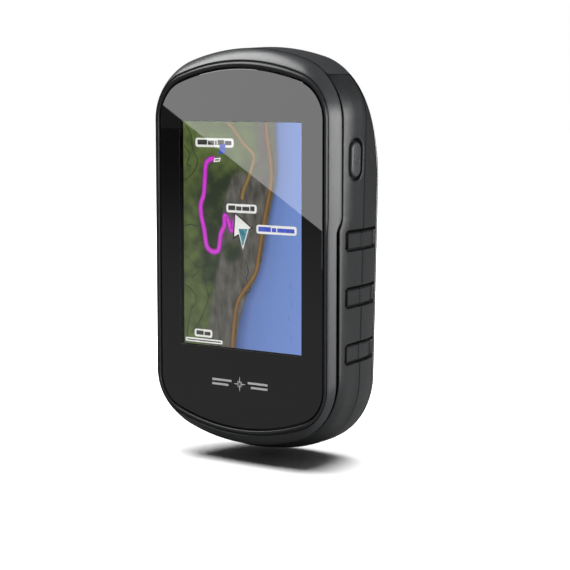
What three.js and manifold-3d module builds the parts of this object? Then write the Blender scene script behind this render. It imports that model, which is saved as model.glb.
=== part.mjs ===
// Handheld satellite navigator: a rugged pocket receiver with a glass touch front, a rubber side
// grip, a lift-off battery door with a mounting rail, a folding latch ring and a sealed USB port.
//
// Frame, in millimetres: +Z up the long side of the unit, the screen faces -Y, the power key is on
// the +X side. The origin is at the middle of the base of the overall box. Most depths are counted
// rearwards from the front face of the glass and turned into Y by depthToY().
import * as THREE from 'three';
import { mergeVertices } from 'three/addons/utils/BufferGeometryUtils.js';
import Module from 'manifold-3d';

const wasm = await Module();
wasm.setup();

// ---------------------------------------------------------------- driving dimensions
const bodyHeight = 102.0;
const bodyWidth = 57.6;
const overallDepth = 33.0;

const rimProud = 0.3; // front rim stands this far in front of the glass
const railHeight = 4.2; // mounting rail stands this far behind the door
const seamDepth = 3.9; // where the bezel's rounded band ends
const creaseDepth = 12.0; // where the side starts to curve towards the back
const backDepth = overallDepth - rimProud - railHeight;
const backCurve = 1.5; // exponent of the curve from the crease to the back
const rearEdgeRadius = 2.2;
const sideTaper = 0.051; // the sides draw in by this share over half the height
const taperDepth = 8.0; // depth over which that taper builds up
const taperMiddle = bodyHeight * 0.504; // height at which the taper changes sign

// rounded outlines: half width, top, bottom, and the corner and crown radii of each end
const seamOutline = {
  half: bodyWidth / 2, top: bodyHeight - 0.4, bottom: 1.5,
  topCorner: 16.0, topCrown: 56.9, bottomCorner: 18.1, bottomCrown: 50.5,
};
const creaseOutline = { ...seamOutline, half: seamOutline.half - 0.9, top: bodyHeight, bottom: 0 };
const backOutline = {
  ...seamOutline, half: seamOutline.half - 7.4, top: bodyHeight - 26.8, bottom: 0.5,
};
const glassOutline = {
  half: seamOutline.half - 3.25, top: bodyHeight - 5.5, bottom: 6.7,
  topCorner: 9.9, topCrown: 56.6, bottomCorner: 8.9, bottomCrown: 57.1,
};
const cornerSteps = 5;
const crownSteps = 6;
const rearSteps = 6;

// fits and walls
const seamGap = 0.25; // between the outer shells
const sealGap = 0.1; // between a seal, tape or plate and what it lies on
const partGap = 0.3; // between inner pieces
const gripThickness = 1.4;
const caseWall = 1.8;
const doorThickness = 1.6;
const coreSkin = gripThickness + 0.1; // case surface under the grip
const hollowSkin = coreSkin + caseWall; // inside of the case
const seatSkin = doorThickness + partGap; // case surface under the door

// glass, tape and display
const glassThickness = 1.1;
const glassGap = 0.45;
const tapeThickness = 0.2;
const tapeWidth = 2.6;
const displayWidth = 37.8;
const displayHeight = 56.7;
const displayTopMargin = 18.65;
const displayCentre = bodyHeight - displayTopMargin - displayHeight / 2;
const panelBorder = 1.3;
const panelFoot = 2.8; // extra length of the panel below the picture, for its driver
const panelThickness = 1.4;
const lightThickness = 1.2;
const frameWall = 0.5;
const ledgeThickness = 1.4;

// main board and what it carries
const boardFront = 6.0;
const boardThickness = 1.0;
const shield = { x: 6, z: 34, width: 20, height: 24, depth: 2.4, sheet: 0.3 };
const processor = { x: 3, z: 39.2, width: 12, height: 12, depth: 1.2 };
const memory = { x: 11.5, z: 28.5, width: 6, height: 8, depth: 1.0 };
const compass = { x: -19, z: 30, width: 3, height: 3, depth: 0.9 };
const antenna = { x: -14, z: bodyHeight - 17.5, width: 15, height: 15, depth: 4.0 };
const beeper = { x: 15, z: bodyHeight - 15, radius: 4.5, depth: 2.6 };
const cardSocket = { x: -7, z: 55, width: 14, height: 15.5, depth: 1.9, sheet: 0.3 };
const memoryCard = { width: 11, height: 15, depth: 0.8 };
const connector = { width: 16, height: 3, depth: 1.2 };

// latch of the battery door
const latch = {
  z: 8.2, dishRadius: 5.6, dishDepth: 2.2, dishFloor: 1.7, headRadius: 3.7, headDepth: 1.6,
  shaftRadius: 1.8, play: 0.2, barHalf: 3.6, barWidth: 3.2, barDepth: 1.5, keyholeRadius: 4.0,
};
const dishRim = 0.8; // wall round the latch's dish
const latchTop = latch.z + latch.dishRadius + dishRim;

// batteries and their compartment
const cellDiameter = 14.5;
const cellLength = 50.5;
const cellGap = 0.7; // between the two cells
const cellPlay = 0.3; // round a cell
const springRoom = 3.4; // at the spring's end of a cell
const compartmentWall = 1.5;
const compartmentBottom = latchTop + compartmentWall + 0.7;
const cellCentreX = (cellDiameter + cellGap) / 2;
const cellCentreDepth = backDepth - doorThickness - 0.4 - cellDiameter / 2;
const compartmentHalf = cellCentreX + cellDiameter / 2 + cellPlay + 0.25;
const cellBottom = compartmentBottom + springRoom;
const cellTop = cellBottom + cellLength;
const compartmentTop = cellTop + springRoom - partGap;
const floorDepth = cellCentreDepth - cellDiameter / 2 - cellPlay;
const rimDepth = backDepth - doorThickness - 2.4; // plane that the door seal lies on
const sealThickness = 0.7;
const contactSheet = 0.4;
const nubLength = 1.0;

// door, rail and latch
const doorFront = 23.1;
const doorTop = compartmentTop + compartmentWall + 1.2;
const rail = { neckHalf: 6.2, headHalf: 9.2, headDepth: 2.3, bottom: 29, top: doorTop - 7 };
const ring = { inner: 4.0, outer: 5.3, thickness: 1.5, ear: 0.7, pinRadius: 0.5, pinReach: 0.9 };
const dishSeat = backDepth - latch.dishDepth - latch.dishFloor - 0.4;
const keyholeWall = 2.7;
const caseWell = { x: 11.5, z: 9.0, headRadius: 1.9, shaftRadius: 1.0, post: 3.0 };

// side notches, power key and port
const notch = { bottom: 24.4, height: 5.4, pitch: 13.85, count: 3, depth: 0.9, front: 5.2 };
const gripTop = bodyHeight - 7.0;
const gripRear = doorFront - seamGap;
const gripTaper = { low: doorTop - 6, top: 13.5 }; // its rear edge runs forward from this height
const tongueFront = 2.55; // the grip reaches forward to this depth below the step
const tongueTop = 58.6;
const key = { z: bodyHeight - 27.5, depth: 9.75, width: 4.0, height: 8.6, travel: 0.4, stem: 1.0 };
const keyMoat = 0.95;
const keyFloor = 1.1;
const cap = { half: 7.5, bottom: doorTop + 3.6, height: 12.0, plugHalf: 5.8, plugHeight: 6.0 };
const port = { width: 7.7, height: 3.9, length: 9.1, sheet: 0.35 };
const portCentre = cap.bottom + 5.5;
const portMouth = 22.0;

// ---------------------------------------------------------------- outlines and solids
function depthToY(depth) {
  return depth - (overallDepth / 2 - rimProud);
}

function mixOutlines(a, b, share) {
  const mixed = {};
  for (const name of Object.keys(a)) mixed[name] = a[name] + (b[name] - a[name]) * share;
  return mixed;
}

function insetOutline(outline, skin) {
  return {
    half: outline.half - skin, top: outline.top - skin, bottom: outline.bottom + skin,
    topCorner: outline.topCorner - skin, topCrown: outline.topCrown - skin,
    bottomCorner: outline.bottomCorner - skin, bottomCrown: outline.bottomCrown - skin,
  };
}

// The outline of the whole body at a depth, with a skin of even thickness taken off.
function bodyOutline(depth, skin = 0) {
  const back = backDepth - skin;
  const rim = insetOutline(glassOutline, -1.1);
  if (depth < seamDepth) {
    const cosine = 1 - (depth + rimProud) / (seamDepth + rimProud);
    return insetOutline(mixOutlines(rim, seamOutline, Math.sqrt(1 - cosine ** 2)), skin);
  }
  if (depth < creaseDepth) {
    const share = (depth - seamDepth) / (creaseDepth - seamDepth);
    return insetOutline(mixOutlines(seamOutline, creaseOutline, share), skin);
  }
  const share = Math.min((depth - creaseDepth) / (back - creaseDepth), 1);
  const drawIn = 1 - (1 - share ** backCurve) ** (1 / backCurve);
  const edge = Math.max(depth - (back - rearEdgeRadius), 0);
  const edgeInset = rearEdgeRadius - Math.sqrt(Math.max(rearEdgeRadius ** 2 - edge ** 2, 0));
  return insetOutline(mixOutlines(creaseOutline, backOutline, drawIn), skin + edgeInset);
}

// One end of an outline, from the right side over the crown to the left side.
function endPoints(half, crownHeight, corner, crown) {
  const crownCentre = crownHeight - crown;
  const cornerX = half - corner;
  const cornerRise = Math.sqrt(Math.max((crown - corner) ** 2 - cornerX ** 2, 0));
  const cornerZ = crownCentre + cornerRise;
  const join = Math.atan2(cornerRise, cornerX);
  const right = [];
  for (let i = 0; i < cornerSteps; i++) {
    const angle = (join * i) / cornerSteps;
    right.push([cornerX + corner * Math.cos(angle), cornerZ + corner * Math.sin(angle)]);
  }
  const top = [];
  for (let i = 0; i <= crownSteps; i++) {
    const angle = join + ((Math.PI - 2 * join) * i) / crownSteps;
    top.push([crown * Math.cos(angle), crownCentre + crown * Math.sin(angle)]);
  }
  const left = right.map(([x, z]) => [-x, z]).reverse();
  return [...right, ...top, ...left];
}

// Points of an outline, anticlockwise as seen from the front.
function outlinePoints(outline) {
  const { half, top, bottom, topCorner, topCrown, bottomCorner, bottomCrown } = outline;
  const upper = endPoints(half, top, topCorner, topCrown);
  const lower = endPoints(half, -bottom, bottomCorner, bottomCrown);
  return [...upper, ...lower.map(([x, z]) => [-x, -z])];
}

function bodyRing(depth, skin) {
  const reach = Math.min(Math.max((depth - seamDepth) / taperDepth, 0), 1) * sideTaper;
  return outlinePoints(bodyOutline(depth, skin)).map(([x, z]) => {
    const share = 1 + (reach * (z - taperMiddle)) / (bodyHeight / 2);
    return new THREE.Vector3(x * share, depthToY(depth), z);
  });
}

// How far out the body's side is at a depth and height.
function sideX(depth, height, skin = 0) {
  const points = bodyRing(depth, skin);
  const count = points.length;
  for (let i = 0; i < count; i++) {
    const a = points[i];
    const b = points[(i + 1) % count];
    const crosses = (a.z - height) * (b.z - height) <= 0 && a.z !== b.z;
    if (crosses && a.x > 0) return a.x + ((b.x - a.x) * (height - a.z)) / (b.z - a.z);
  }
  return 0;
}

// A closed solid through rings of points that run anticlockwise as seen from the front.
function loft(rings) {
  const count = rings[0].length;
  const positions = rings.flat().flatMap((p) => [p.x, p.y, p.z]);
  const indices = [];
  for (let i = 0; i + 1 < rings.length; i++) {
    for (let j = 0; j < count; j++) {
      const next = (j + 1) % count;
      const [a, b] = [i * count + j, i * count + next];
      const [c, d] = [b + count, a + count];
      indices.push(a, c, b, a, d, c);
    }
  }
  const last = (rings.length - 1) * count;
  for (let j = 1; j + 1 < count; j++) {
    indices.push(0, j, j + 1, last, last + j + 1, last + j);
  }
  const geometry = new THREE.BufferGeometry();
  geometry.setAttribute('position', new THREE.Float32BufferAttribute(positions, 3));
  geometry.setIndex(indices);
  return toSolid(geometry);
}

function toSolid(geometry) {
  const bare = geometry.clone();
  for (const name of Object.keys(bare.attributes)) {
    if (name !== 'position') bare.deleteAttribute(name);
  }
  const merged = mergeVertices(bare, 1e-5);
  return new wasm.Manifold(new wasm.Mesh({
    numProp: 3,
    vertProperties: new Float32Array(merged.attributes.position.array),
    triVerts: new Uint32Array(merged.index.array),
  }));
}

function toGeometry(solid) {
  const mesh = solid.getMesh();
  const geometry = new THREE.BufferGeometry();
  geometry.setAttribute('position', new THREE.BufferAttribute(mesh.vertProperties, 3));
  geometry.setIndex(new THREE.BufferAttribute(mesh.triVerts, 1));
  geometry.computeVertexNormals();
  return geometry;
}

function join(...solids) {
  return solids.reduce((whole, solid) => whole.add(solid));
}

function cut(solid, ...tools) {
  return tools.reduce((left, tool) => left.subtract(tool), solid);
}

function overlap(a, b) {
  return a.intersect(b);
}

// The body between two depths, with a skin taken off all round and off the back.
function bodySolid(skin, from, to = backDepth) {
  const back = backDepth - skin;
  const depths = [from];
  for (let i = 1; i < 5; i++) {
    const angle = (i * Math.PI) / 10;
    depths.push(-rimProud + (seamDepth + rimProud) * (1 - Math.cos(angle)));
  }
  depths.push(seamDepth, seamDepth + taperDepth, creaseDepth);
  for (let i = 1; i <= rearSteps; i++) {
    const angle = (i * Math.PI) / 2 / rearSteps;
    depths.push(creaseDepth + (back - creaseDepth) * Math.sin(angle) ** (2 / backCurve));
  }
  const end = Math.min(to, back);
  depths.push(end);
  const used = [...new Set(depths)].filter((d) => d >= from && d <= end).sort((a, b) => a - b);
  return loft(used.map((depth) => bodyRing(depth, skin)));
}

// A block between two widths, two depths and two heights.
function block(x0, x1, d0, d1, z0, z1) {
  const geometry = new THREE.BoxGeometry(x1 - x0, d1 - d0, z1 - z0);
  geometry.translate((x0 + x1) / 2, depthToY((d0 + d1) / 2), (z0 + z1) / 2);
  return toSolid(geometry);
}

function wideBlock(half, d0, d1, z0, z1) {
  return block(-half, half, d0, d1, z0, z1);
}

function centredBlock(part, d0, d1, grow = 0) {
  const halfWidth = part.width / 2 + grow;
  const halfHeight = part.height / 2 + grow;
  return block(part.x - halfWidth, part.x + halfWidth, d0, d1, part.z - halfHeight, part.z + halfHeight);
}

// An outline given as points [x, z], as a plate between two depths.
function plate(points, d0, d1) {
  const shape = new THREE.Shape(points.map(([x, z]) => new THREE.Vector2(x, z)));
  const geometry = new THREE.ExtrudeGeometry(shape, { depth: d1 - d0, bevelEnabled: false });
  geometry.rotateX(Math.PI / 2);
  geometry.translate(0, depthToY(d1), 0);
  return toSolid(geometry);
}

// A round bar along the depth.
function bar(x, z, radius, d0, d1, sides = 20) {
  const geometry = new THREE.CylinderGeometry(radius, radius, d1 - d0, sides);
  geometry.translate(x, depthToY((d0 + d1) / 2), z);
  return toSolid(geometry);
}

// A round bar along X.
function crossBar(depth, z, radius, x0, x1, sides = 16) {
  const geometry = new THREE.CylinderGeometry(radius, radius, x1 - x0, sides);
  geometry.rotateZ(Math.PI / 2);
  geometry.translate((x0 + x1) / 2, depthToY(depth), z);
  return toSolid(geometry);
}

// A slot shape with round ends, standing along Z and pushed along X.
function capsule(width, height, x0, x1) {
  const radius = width / 2;
  const straight = height / 2 - radius;
  const shape = new THREE.Shape();
  shape.absarc(0, straight, radius, 0, Math.PI, false);
  shape.absarc(0, -straight, radius, Math.PI, 2 * Math.PI, false);
  const geometry = new THREE.ExtrudeGeometry(shape, {
    depth: x1 - x0, bevelEnabled: false, curveSegments: 10,
  });
  geometry.rotateY(Math.PI / 2);
  geometry.rotateX(Math.PI / 2);
  geometry.translate(x0, depthToY(key.depth), key.z);
  return toSolid(geometry);
}

// A strip seen edge on, given as points [depth, z], pushed between two widths.
function strip(points, x0, x1) {
  const shape = new THREE.Shape(points.map(([depth, z]) => new THREE.Vector2(depthToY(depth), z)));
  const geometry = new THREE.ExtrudeGeometry(shape, { depth: x1 - x0, bevelEnabled: false });
  const axes = new THREE.Matrix4().makeBasis(
    new THREE.Vector3(0, 1, 0), new THREE.Vector3(0, 0, 1), new THREE.Vector3(1, 0, 0),
  );
  geometry.applyMatrix4(axes);
  geometry.translate(x0, 0, 0);
  return toSolid(geometry);
}

// ---------------------------------------------------------------- the scene graph
const unit = new THREE.Group();

function addPiece(name, solid, color, roughness, metalness = 0) {
  const material = new THREE.MeshStandardMaterial({ color, roughness, metalness });
  const mesh = new THREE.Mesh(toGeometry(solid), material);
  mesh.name = name;
  unit.add(mesh);
}

const farX = bodyWidth;
const farZ = bodyHeight * 2;

// Where the grip reaches forward over the lower part of the bezel.
function tongueZone(gap) {
  return wideBlock(farX, tongueFront - gap, seamDepth + 0.5, -farZ, tongueTop + gap);
}

// ---------------------------------------------------------------- front shell and glass
const glassBack = glassThickness;
const ledgeFront = glassBack + tapeThickness + 2 * sealGap;
const ledgeBack = ledgeFront + ledgeThickness;
const panel = {
  half: displayWidth / 2 + panelBorder,
  top: displayCentre + displayHeight / 2 + panelBorder,
  bottom: displayCentre - displayHeight / 2 - panelBorder - panelFoot,
  front: ledgeFront + sealGap,
};
const panelBack = panel.front + panelThickness;
const lightBack = panelBack + sealGap + lightThickness;
const trayGrow = sealGap * 2 + frameWall;
const bossBack = boardFront + boardThickness + partGap;
const touchSlot = { x0: -18, x1: -12, z0: 14.6, z1: 15.8 };
const ribbon = { half: 6.5, sheet: 0.25, start: panel.bottom - sealGap, low: panel.bottom - 2.5 };

function makeFrontBezel() {
  const dome = bodySolid(0, -rimProud, seamDepth);
  const underTongue = bodySolid(coreSkin + sealGap, -rimProud + 0.01, seamDepth);
  const tongue = cut(overlap(dome, tongueZone(seamGap)), underTongue);
  const pocket = plate(outlinePoints(insetOutline(glassOutline, -glassGap)), -1, ledgeFront);
  const hollow = plate(outlinePoints(insetOutline(seamOutline, hollowSkin)), ledgeBack, 5);
  const grow = trayGrow + partGap;
  const window = wideBlock(panel.half + grow, 0, 5, panel.bottom - grow, panel.top + grow);
  const slot = block(touchSlot.x0 - 0.3, touchSlot.x1 + 0.3, 0, 5, touchSlot.z0 - 0.3, touchSlot.z1 + 0.3);
  const ribbonNotch = wideBlock(ribbon.half + 0.7, 0, 5, ribbon.low - 2, panel.bottom);
  let bezel = cut(dome, tongue, pocket, hollow, window, slot, ribbonNotch);
  for (const side of [-1, 1]) {
    const boss = bar(side * caseWell.x, caseWell.z, 2.5, ledgeFront + 0.2, bossBack);
    const pilot = bar(side * caseWell.x, caseWell.z, caseWell.shaftRadius + 0.1, ledgeBack + 0.4, 9);
    bezel = cut(join(bezel, boss), pilot);
  }
  addPiece('front_bezel', bezel, 0x4a4a4c, 0.55);
}

function makeGlass() {
  addPiece('touch_lens', plate(outlinePoints(glassOutline), 0, glassBack), 0x17181a, 0.06);
  const outer = plate(outlinePoints(insetOutline(glassOutline, 0.4)), glassBack + sealGap, ledgeFront - sealGap);
  const inner = plate(outlinePoints(insetOutline(glassOutline, 0.4 + tapeWidth)), 0, 3);
  addPiece('lens_tape', cut(outer, inner), 0x101012, 0.8);
}

function makeDisplay() {
  const { half, top, bottom, front } = panel;
  addPiece('display_panel', wideBlock(half, front, panelBack, bottom, top), 0x6f8f77, 0.25);
  const lightFront = panelBack + sealGap;
  addPiece('backlight_unit', wideBlock(half, lightFront, lightBack, bottom, top), 0xe8ecef, 0.4);
  const tray = wideBlock(half + trayGrow, front, lightBack + sealGap + frameWall, bottom - trayGrow, top + trayGrow);
  const room = wideBlock(half + 2 * sealGap, 0, lightBack + sealGap, bottom - 2 * sealGap, top + 2 * sealGap);
  const ribbonExit = wideBlock(7.5, 0, panelBack, bottom - 2, bottom);
  addPiece('display_frame', cut(tray, room, ribbonExit), 0xb9bcc0, 0.35, 0.9);
}

function makeRibbons() {
  const { half, sheet, start, low } = ribbon;
  const bend = [
    [panel.front + 0.2, start], [panel.front + 0.2, low], [boardFront - 0.9, low - 0.6],
    [boardFront - 0.9, low - 1.4], [boardFront - 0.9 + sheet, low - 1.4],
    [boardFront - 0.9 + sheet, low - 0.4], [panel.front + 0.2 + sheet, low + sheet],
    [panel.front + 0.2 + sheet, start],
  ];
  addPiece('display_ribbon', strip(bend, -half, half), 0xb87333, 0.45);
  const plug = {
    x: 0, z: low - 1.5 - connector.height / 2, width: connector.width, height: connector.height,
  };
  const plugFront = boardFront - sealGap - connector.depth;
  addPiece('display_connector', centredBlock(plug, plugFront, boardFront - sealGap), 0xe6e1d3, 0.5);
  const { x0, x1, z0, z1 } = touchSlot;
  const middle = (z0 + z1) / 2;
  const sheetEdge = [
    [glassBack + sealGap, middle], [boardFront - 0.5, middle], [boardFront - 0.5, middle - 3],
    [boardFront - 0.5 + sheet, middle - 3], [boardFront - 0.5 + sheet, middle + sheet],
    [glassBack + sealGap, middle + sheet],
  ];
  addPiece('touch_ribbon', strip(sheetEdge, x0, x1), 0xb87333, 0.45);
}

// ---------------------------------------------------------------- board and electronics
const boardBack = boardFront + boardThickness;
const componentFront = boardBack + sealGap;
const boardScrews = [[-15, 19.5], [15, 19.5], [-15, 66], [15, 66]];

function makeMainBoard() {
  const outline = outlinePoints(bodyOutline(boardFront, hollowSkin + 0.6));
  let board = plate(outline, boardFront, boardBack);
  for (const side of [-1, 1]) {
    board = cut(board, bar(side * caseWell.x, caseWell.z, 2.5 + partGap, 0, 9));
  }
  for (const [x, z] of boardScrews) board = cut(board, bar(x, z, 1.2, 0, 9, 12));
  addPiece('main_board', board, 0x1f5a38, 0.45);
}

function makeBoardScrews() {
  boardScrews.forEach(([x, z], index) => {
    const shaft = bar(x, z, 0.8, boardFront - 0.4, floorDepth - compartmentWall - 0.4, 12);
    const head = bar(x, z, 1.6, boardFront - 0.8, boardFront - sealGap, 12);
    addPiece(`board_screw_${index + 1}`, join(shaft, head), 0x9a9da0, 0.3, 1);
  });
}

function makeShieldedChips() {
  const { depth, sheet } = shield;
  const can = centredBlock(shield, componentFront, componentFront + depth);
  const room = centredBlock(shield, 0, componentFront + depth - sheet, -sheet);
  addPiece('rf_shield', cut(can, room), 0xc9cccf, 0.3, 1);
  const chips = { processor_chip: processor, memory_chip: memory, compass_chip: compass };
  for (const [name, chip] of Object.entries(chips)) {
    addPiece(name, centredBlock(chip, componentFront, componentFront + chip.depth), 0x151515, 0.5);
  }
}

function makeAntennaAndBeeper() {
  const patch = centredBlock(antenna, componentFront, componentFront + antenna.depth);
  addPiece('gps_antenna', patch, 0xcbbfa6, 0.6);
  const { x, z, radius, depth } = beeper;
  const can = bar(x, z, radius, componentFront, componentFront + depth, 24);
  const mouth = bar(x, z, 0.9, componentFront + depth - 0.8, componentFront + depth + 1, 12);
  addPiece('beeper', cut(can, mouth), 0x1c1c1e, 0.5);
}

function makeMemoryCard() {
  const { depth, sheet, x, z } = cardSocket;
  const back = componentFront + depth;
  const shell = centredBlock(cardSocket, componentFront, back);
  const room = block(
    x - memoryCard.width / 2 - partGap, x + memoryCard.width / 2 + partGap,
    componentFront + sheet, back - sheet, z - cardSocket.height / 2 + sheet, z + 20,
  );
  addPiece('card_socket', cut(shell, room), 0xc4c7ca, 0.3, 1);
  const card = { x, z: z + 1.2, width: memoryCard.width, height: memoryCard.height };
  const cardFront = componentFront + sheet + 0.15;
  addPiece('memory_card', centredBlock(card, cardFront, cardFront + memoryCard.depth), 0x202124, 0.4);
}

// ---------------------------------------------------------------- power key
const keySide = sideX(key.depth, key.z);
const keyFace = keySide + 0.1;
const keySeat = sideX(key.depth, key.z, hollowSkin) + keyFloor;
const switchFace = keySeat - keyFloor - 2.9;

function makePowerKey() {
  const headBack = keySeat + key.travel + 0.2;
  const head = capsule(key.width, key.height, headBack, keyFace);
  const stem = crossBar(key.depth, key.z, key.stem, switchFace + 0.5, headBack + 0.3);
  addPiece('power_key', join(head, stem), 0x2b2c2e, 0.7);
  const clipBack = keySeat - keyFloor - 0.8;
  const clip = cut(
    crossBar(key.depth, key.z, 2.0, clipBack, clipBack + 0.6),
    crossBar(key.depth, key.z, key.stem + 0.15, clipBack - 1, clipBack + 2),
  );
  addPiece('key_clip', clip, 0xb0b3b6, 0.3, 1);
}

function makePowerSwitch() {
  const body = block(
    switchFace - 2.8, switchFace, componentFront, key.depth + 1.5, key.z - 2.5, key.z + 2.5,
  );
  const bore = crossBar(key.depth, key.z, 0.9, switchFace - 1.8, switchFace + 1);
  addPiece('power_switch', cut(body, bore), 0x8f9194, 0.35, 0.6);
  const plunger = crossBar(key.depth, key.z, 0.7, switchFace - 1.2, switchFace + 0.4);
  addPiece('switch_plunger', plunger, 0x1a1a1a, 0.5);
}

// ---------------------------------------------------------------- rear case, grip and seal
const capTop = cap.bottom + cap.height;

function doorZone(gap) {
  return wideBlock(farX, doorFront - gap, overallDepth + 9, -farZ, doorTop + gap);
}

function gripZone(gap) {
  const sides = wideBlock(farX, seamDepth - 0.5, gripRear + gap, -farZ, gripTop + gap);
  const step = wideBlock(farX, seamDepth - 0.5, seamDepth + seamGap - gap, tongueTop + gap, farZ);
  const topSlope = strip([
    [gripRear + gap, gripTaper.low], [overallDepth + 9, gripTaper.low],
    [overallDepth + 9, gripTop + 1], [gripTaper.top + gap, gripTop + 1],
  ], -farX, farX);
  return join(cut(sides, step, topSlope), tongueZone(0));
}

function caseHollow() {
  const inside = bodySolid(hollowSkin, seamDepth);
  const half = compartmentHalf + compartmentWall + 0.3;
  const compartmentBlock = wideBlock(
    half, floorDepth - compartmentWall, overallDepth,
    compartmentBottom - compartmentWall, compartmentTop + compartmentWall,
  );
  const rearWall = wideBlock(farX, dishSeat - keyholeWall, overallDepth, -farZ, compartmentTop + compartmentWall);
  return cut(inside, compartmentBlock, rearWall);
}

function addScrewPosts(shell) {
  let posted = shell;
  const wellBottom = bossBack + partGap + 1.6;
  for (const side of [-1, 1]) {
    const x = side * caseWell.x;
    posted = join(posted, bar(x, caseWell.z, caseWell.post, bossBack + partGap, doorFront));
    posted = cut(
      posted,
      bar(x, caseWell.z, caseWell.headRadius + 0.25, wellBottom, overallDepth),
      bar(x, caseWell.z, caseWell.shaftRadius + 0.25, 0, overallDepth, 16),
    );
  }
  for (const [x, z] of boardScrews) {
    const post = bar(x, z, 2.2, componentFront + 0.1, floorDepth - compartmentWall + 0.2, 16);
    posted = cut(join(posted, post), bar(x, z, 1.0, 0, floorDepth - compartmentWall - 0.2, 12));
  }
  return posted;
}

function addPortPocket(shell) {
  const wall = 1.6;
  const half = cap.plugHalf + 0.4;
  const low = portCentre - cap.plugHeight / 2 - 0.4;
  const high = portCentre + cap.plugHeight / 2 + 0.4;
  const floor = portMouth - 0.2;
  const around = overlap(
    wideBlock(half + wall, floor - 1.4, overallDepth, low - wall, high + wall),
    bodySolid(0.6, seamDepth),
  );
  const legFront = portMouth - port.length + partGap;
  const legs = [-1, 1].map((side) => {
    const edges = [side * (half + 0.3), side * (half + wall)].sort((a, b) => a - b);
    return block(edges[0], edges[1], legFront, floor, low, high);
  });
  const seat = cut(
    wideBlock(cap.half + partGap, 0, overallDepth, cap.bottom - partGap, capTop + partGap),
    bodySolid(doorThickness + partGap, seamDepth),
  );
  const grow = 0.25;
  return cut(
    join(shell, around, ...legs),
    wideBlock(half, floor, overallDepth, low, high),
    wideBlock(
      port.width / 2 + grow, floor - 3, overallDepth,
      portCentre - port.height / 2 - grow, portCentre + port.height / 2 + grow,
    ),
    overlap(seat, wideBlock(farX, creaseDepth, overallDepth + 9, 0, farZ)),
  );
}

function makeRearCase() {
  const outer = bodySolid(0, seamDepth + seamGap);
  const underGrip = bodySolid(coreSkin, seamDepth - 1);
  const underDoor = bodySolid(seatSkin, seamDepth);
  let shell = cut(outer, cut(gripZone(sealGap), underGrip), cut(doorZone(partGap), underDoor));
  shell = addPortPocket(cut(shell, caseHollow()));
  const rimZone = wideBlock(farX, rimDepth, overallDepth, -farZ, doorTop - 0.6);
  const compartment = wideBlock(
    compartmentHalf, floorDepth, overallDepth, compartmentBottom, compartmentTop,
  );
  const cardWindow = centredBlock(cardSocket, floorDepth - 3, floorDepth + 1, 0.6);
  const dishRoom = bar(0, latch.z, latch.dishRadius + dishRim + 0.6, dishSeat, overallDepth, 28);
  const keyhole = bar(0, latch.z, latch.keyholeRadius, creaseDepth, overallDepth, 28);
  shell = cut(addScrewPosts(shell), rimZone, compartment, cardWindow, dishRoom, keyhole);
  const recess = capsule(key.width + 2 * keyMoat, key.height + 2 * keyMoat, keySeat, farX);
  const stemHole = crossBar(key.depth, key.z, key.stem + 0.25, keySeat - 4, farX);
  const sealGroove = sealRing(sealGap, sealGap);
  addPiece('rear_case', cut(shell, recess, stemHole, sealGroove), 0x2e2f31, 0.6);
}

// The cord seal between the two shells, or its groove when it is grown by a gap.
function sealRing(side, depthGap) {
  const front = seamDepth + 0.05;
  const outer = outlinePoints(bodyOutline(seamDepth, coreSkin + 0.4 - side));
  const inner = outlinePoints(bodyOutline(seamDepth, hollowSkin - 0.4 + side));
  return cut(plate(outer, front, seamDepth + 0.9 + depthGap), plate(inner, 0, 9));
}

// A ring round the battery compartment, as wide as most of its wall.
function compartmentRing(front, back) {
  const grow = compartmentWall - 0.1;
  const outer = wideBlock(
    compartmentHalf + grow, front, back, compartmentBottom - grow, compartmentTop + grow,
  );
  const inner = wideBlock(
    compartmentHalf + 0.4, 0, overallDepth, compartmentBottom - 0.4, compartmentTop + 0.4,
  );
  return cut(outer, inner);
}

function makeSeals() {
  addPiece('case_seal', sealRing(0, 0), 0x8c2f22, 0.7);
  const front = rimDepth + sealGap;
  addPiece('door_seal', compartmentRing(front, front + sealThickness), 0x3a3b3d, 0.8);
}

function makeSideGrip() {
  const outer = bodySolid(0, 0);
  const inner = bodySolid(gripThickness, -rimProud + 0.01);
  const dented = bodySolid(notch.depth, -rimProud + 0.01);
  let grip = cut(overlap(outer, gripZone(0)), inner);
  for (let i = 0; i < notch.count; i++) {
    const bottom = notch.bottom + i * notch.pitch;
    const band = wideBlock(farX, notch.front, gripRear - 1.0, bottom, bottom + notch.height);
    grip = cut(grip, cut(band, dented));
  }
  const recess = capsule(key.width + 2 * keyMoat, key.height + 2 * keyMoat, 0, farX);
  addPiece('side_grip', cut(grip, recess), 0x333436, 0.85);
}

function makeCaseScrews() {
  const seat = bossBack + partGap + 1.6 + sealGap;
  [-1, 1].forEach((side, index) => {
    const x = side * caseWell.x;
    const shaft = bar(x, caseWell.z, caseWell.shaftRadius, ledgeBack + 0.7, seat + 0.5, 16);
    const head = bar(x, caseWell.z, caseWell.headRadius, seat, seat + 1.4, 16);
    const socket = bar(x, caseWell.z, 0.9, seat + 0.6, seat + 3, 6);
    addPiece(`case_screw_${index + 1}`, cut(join(shaft, head), socket), 0x909396, 0.3, 1);
  });
}

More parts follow.
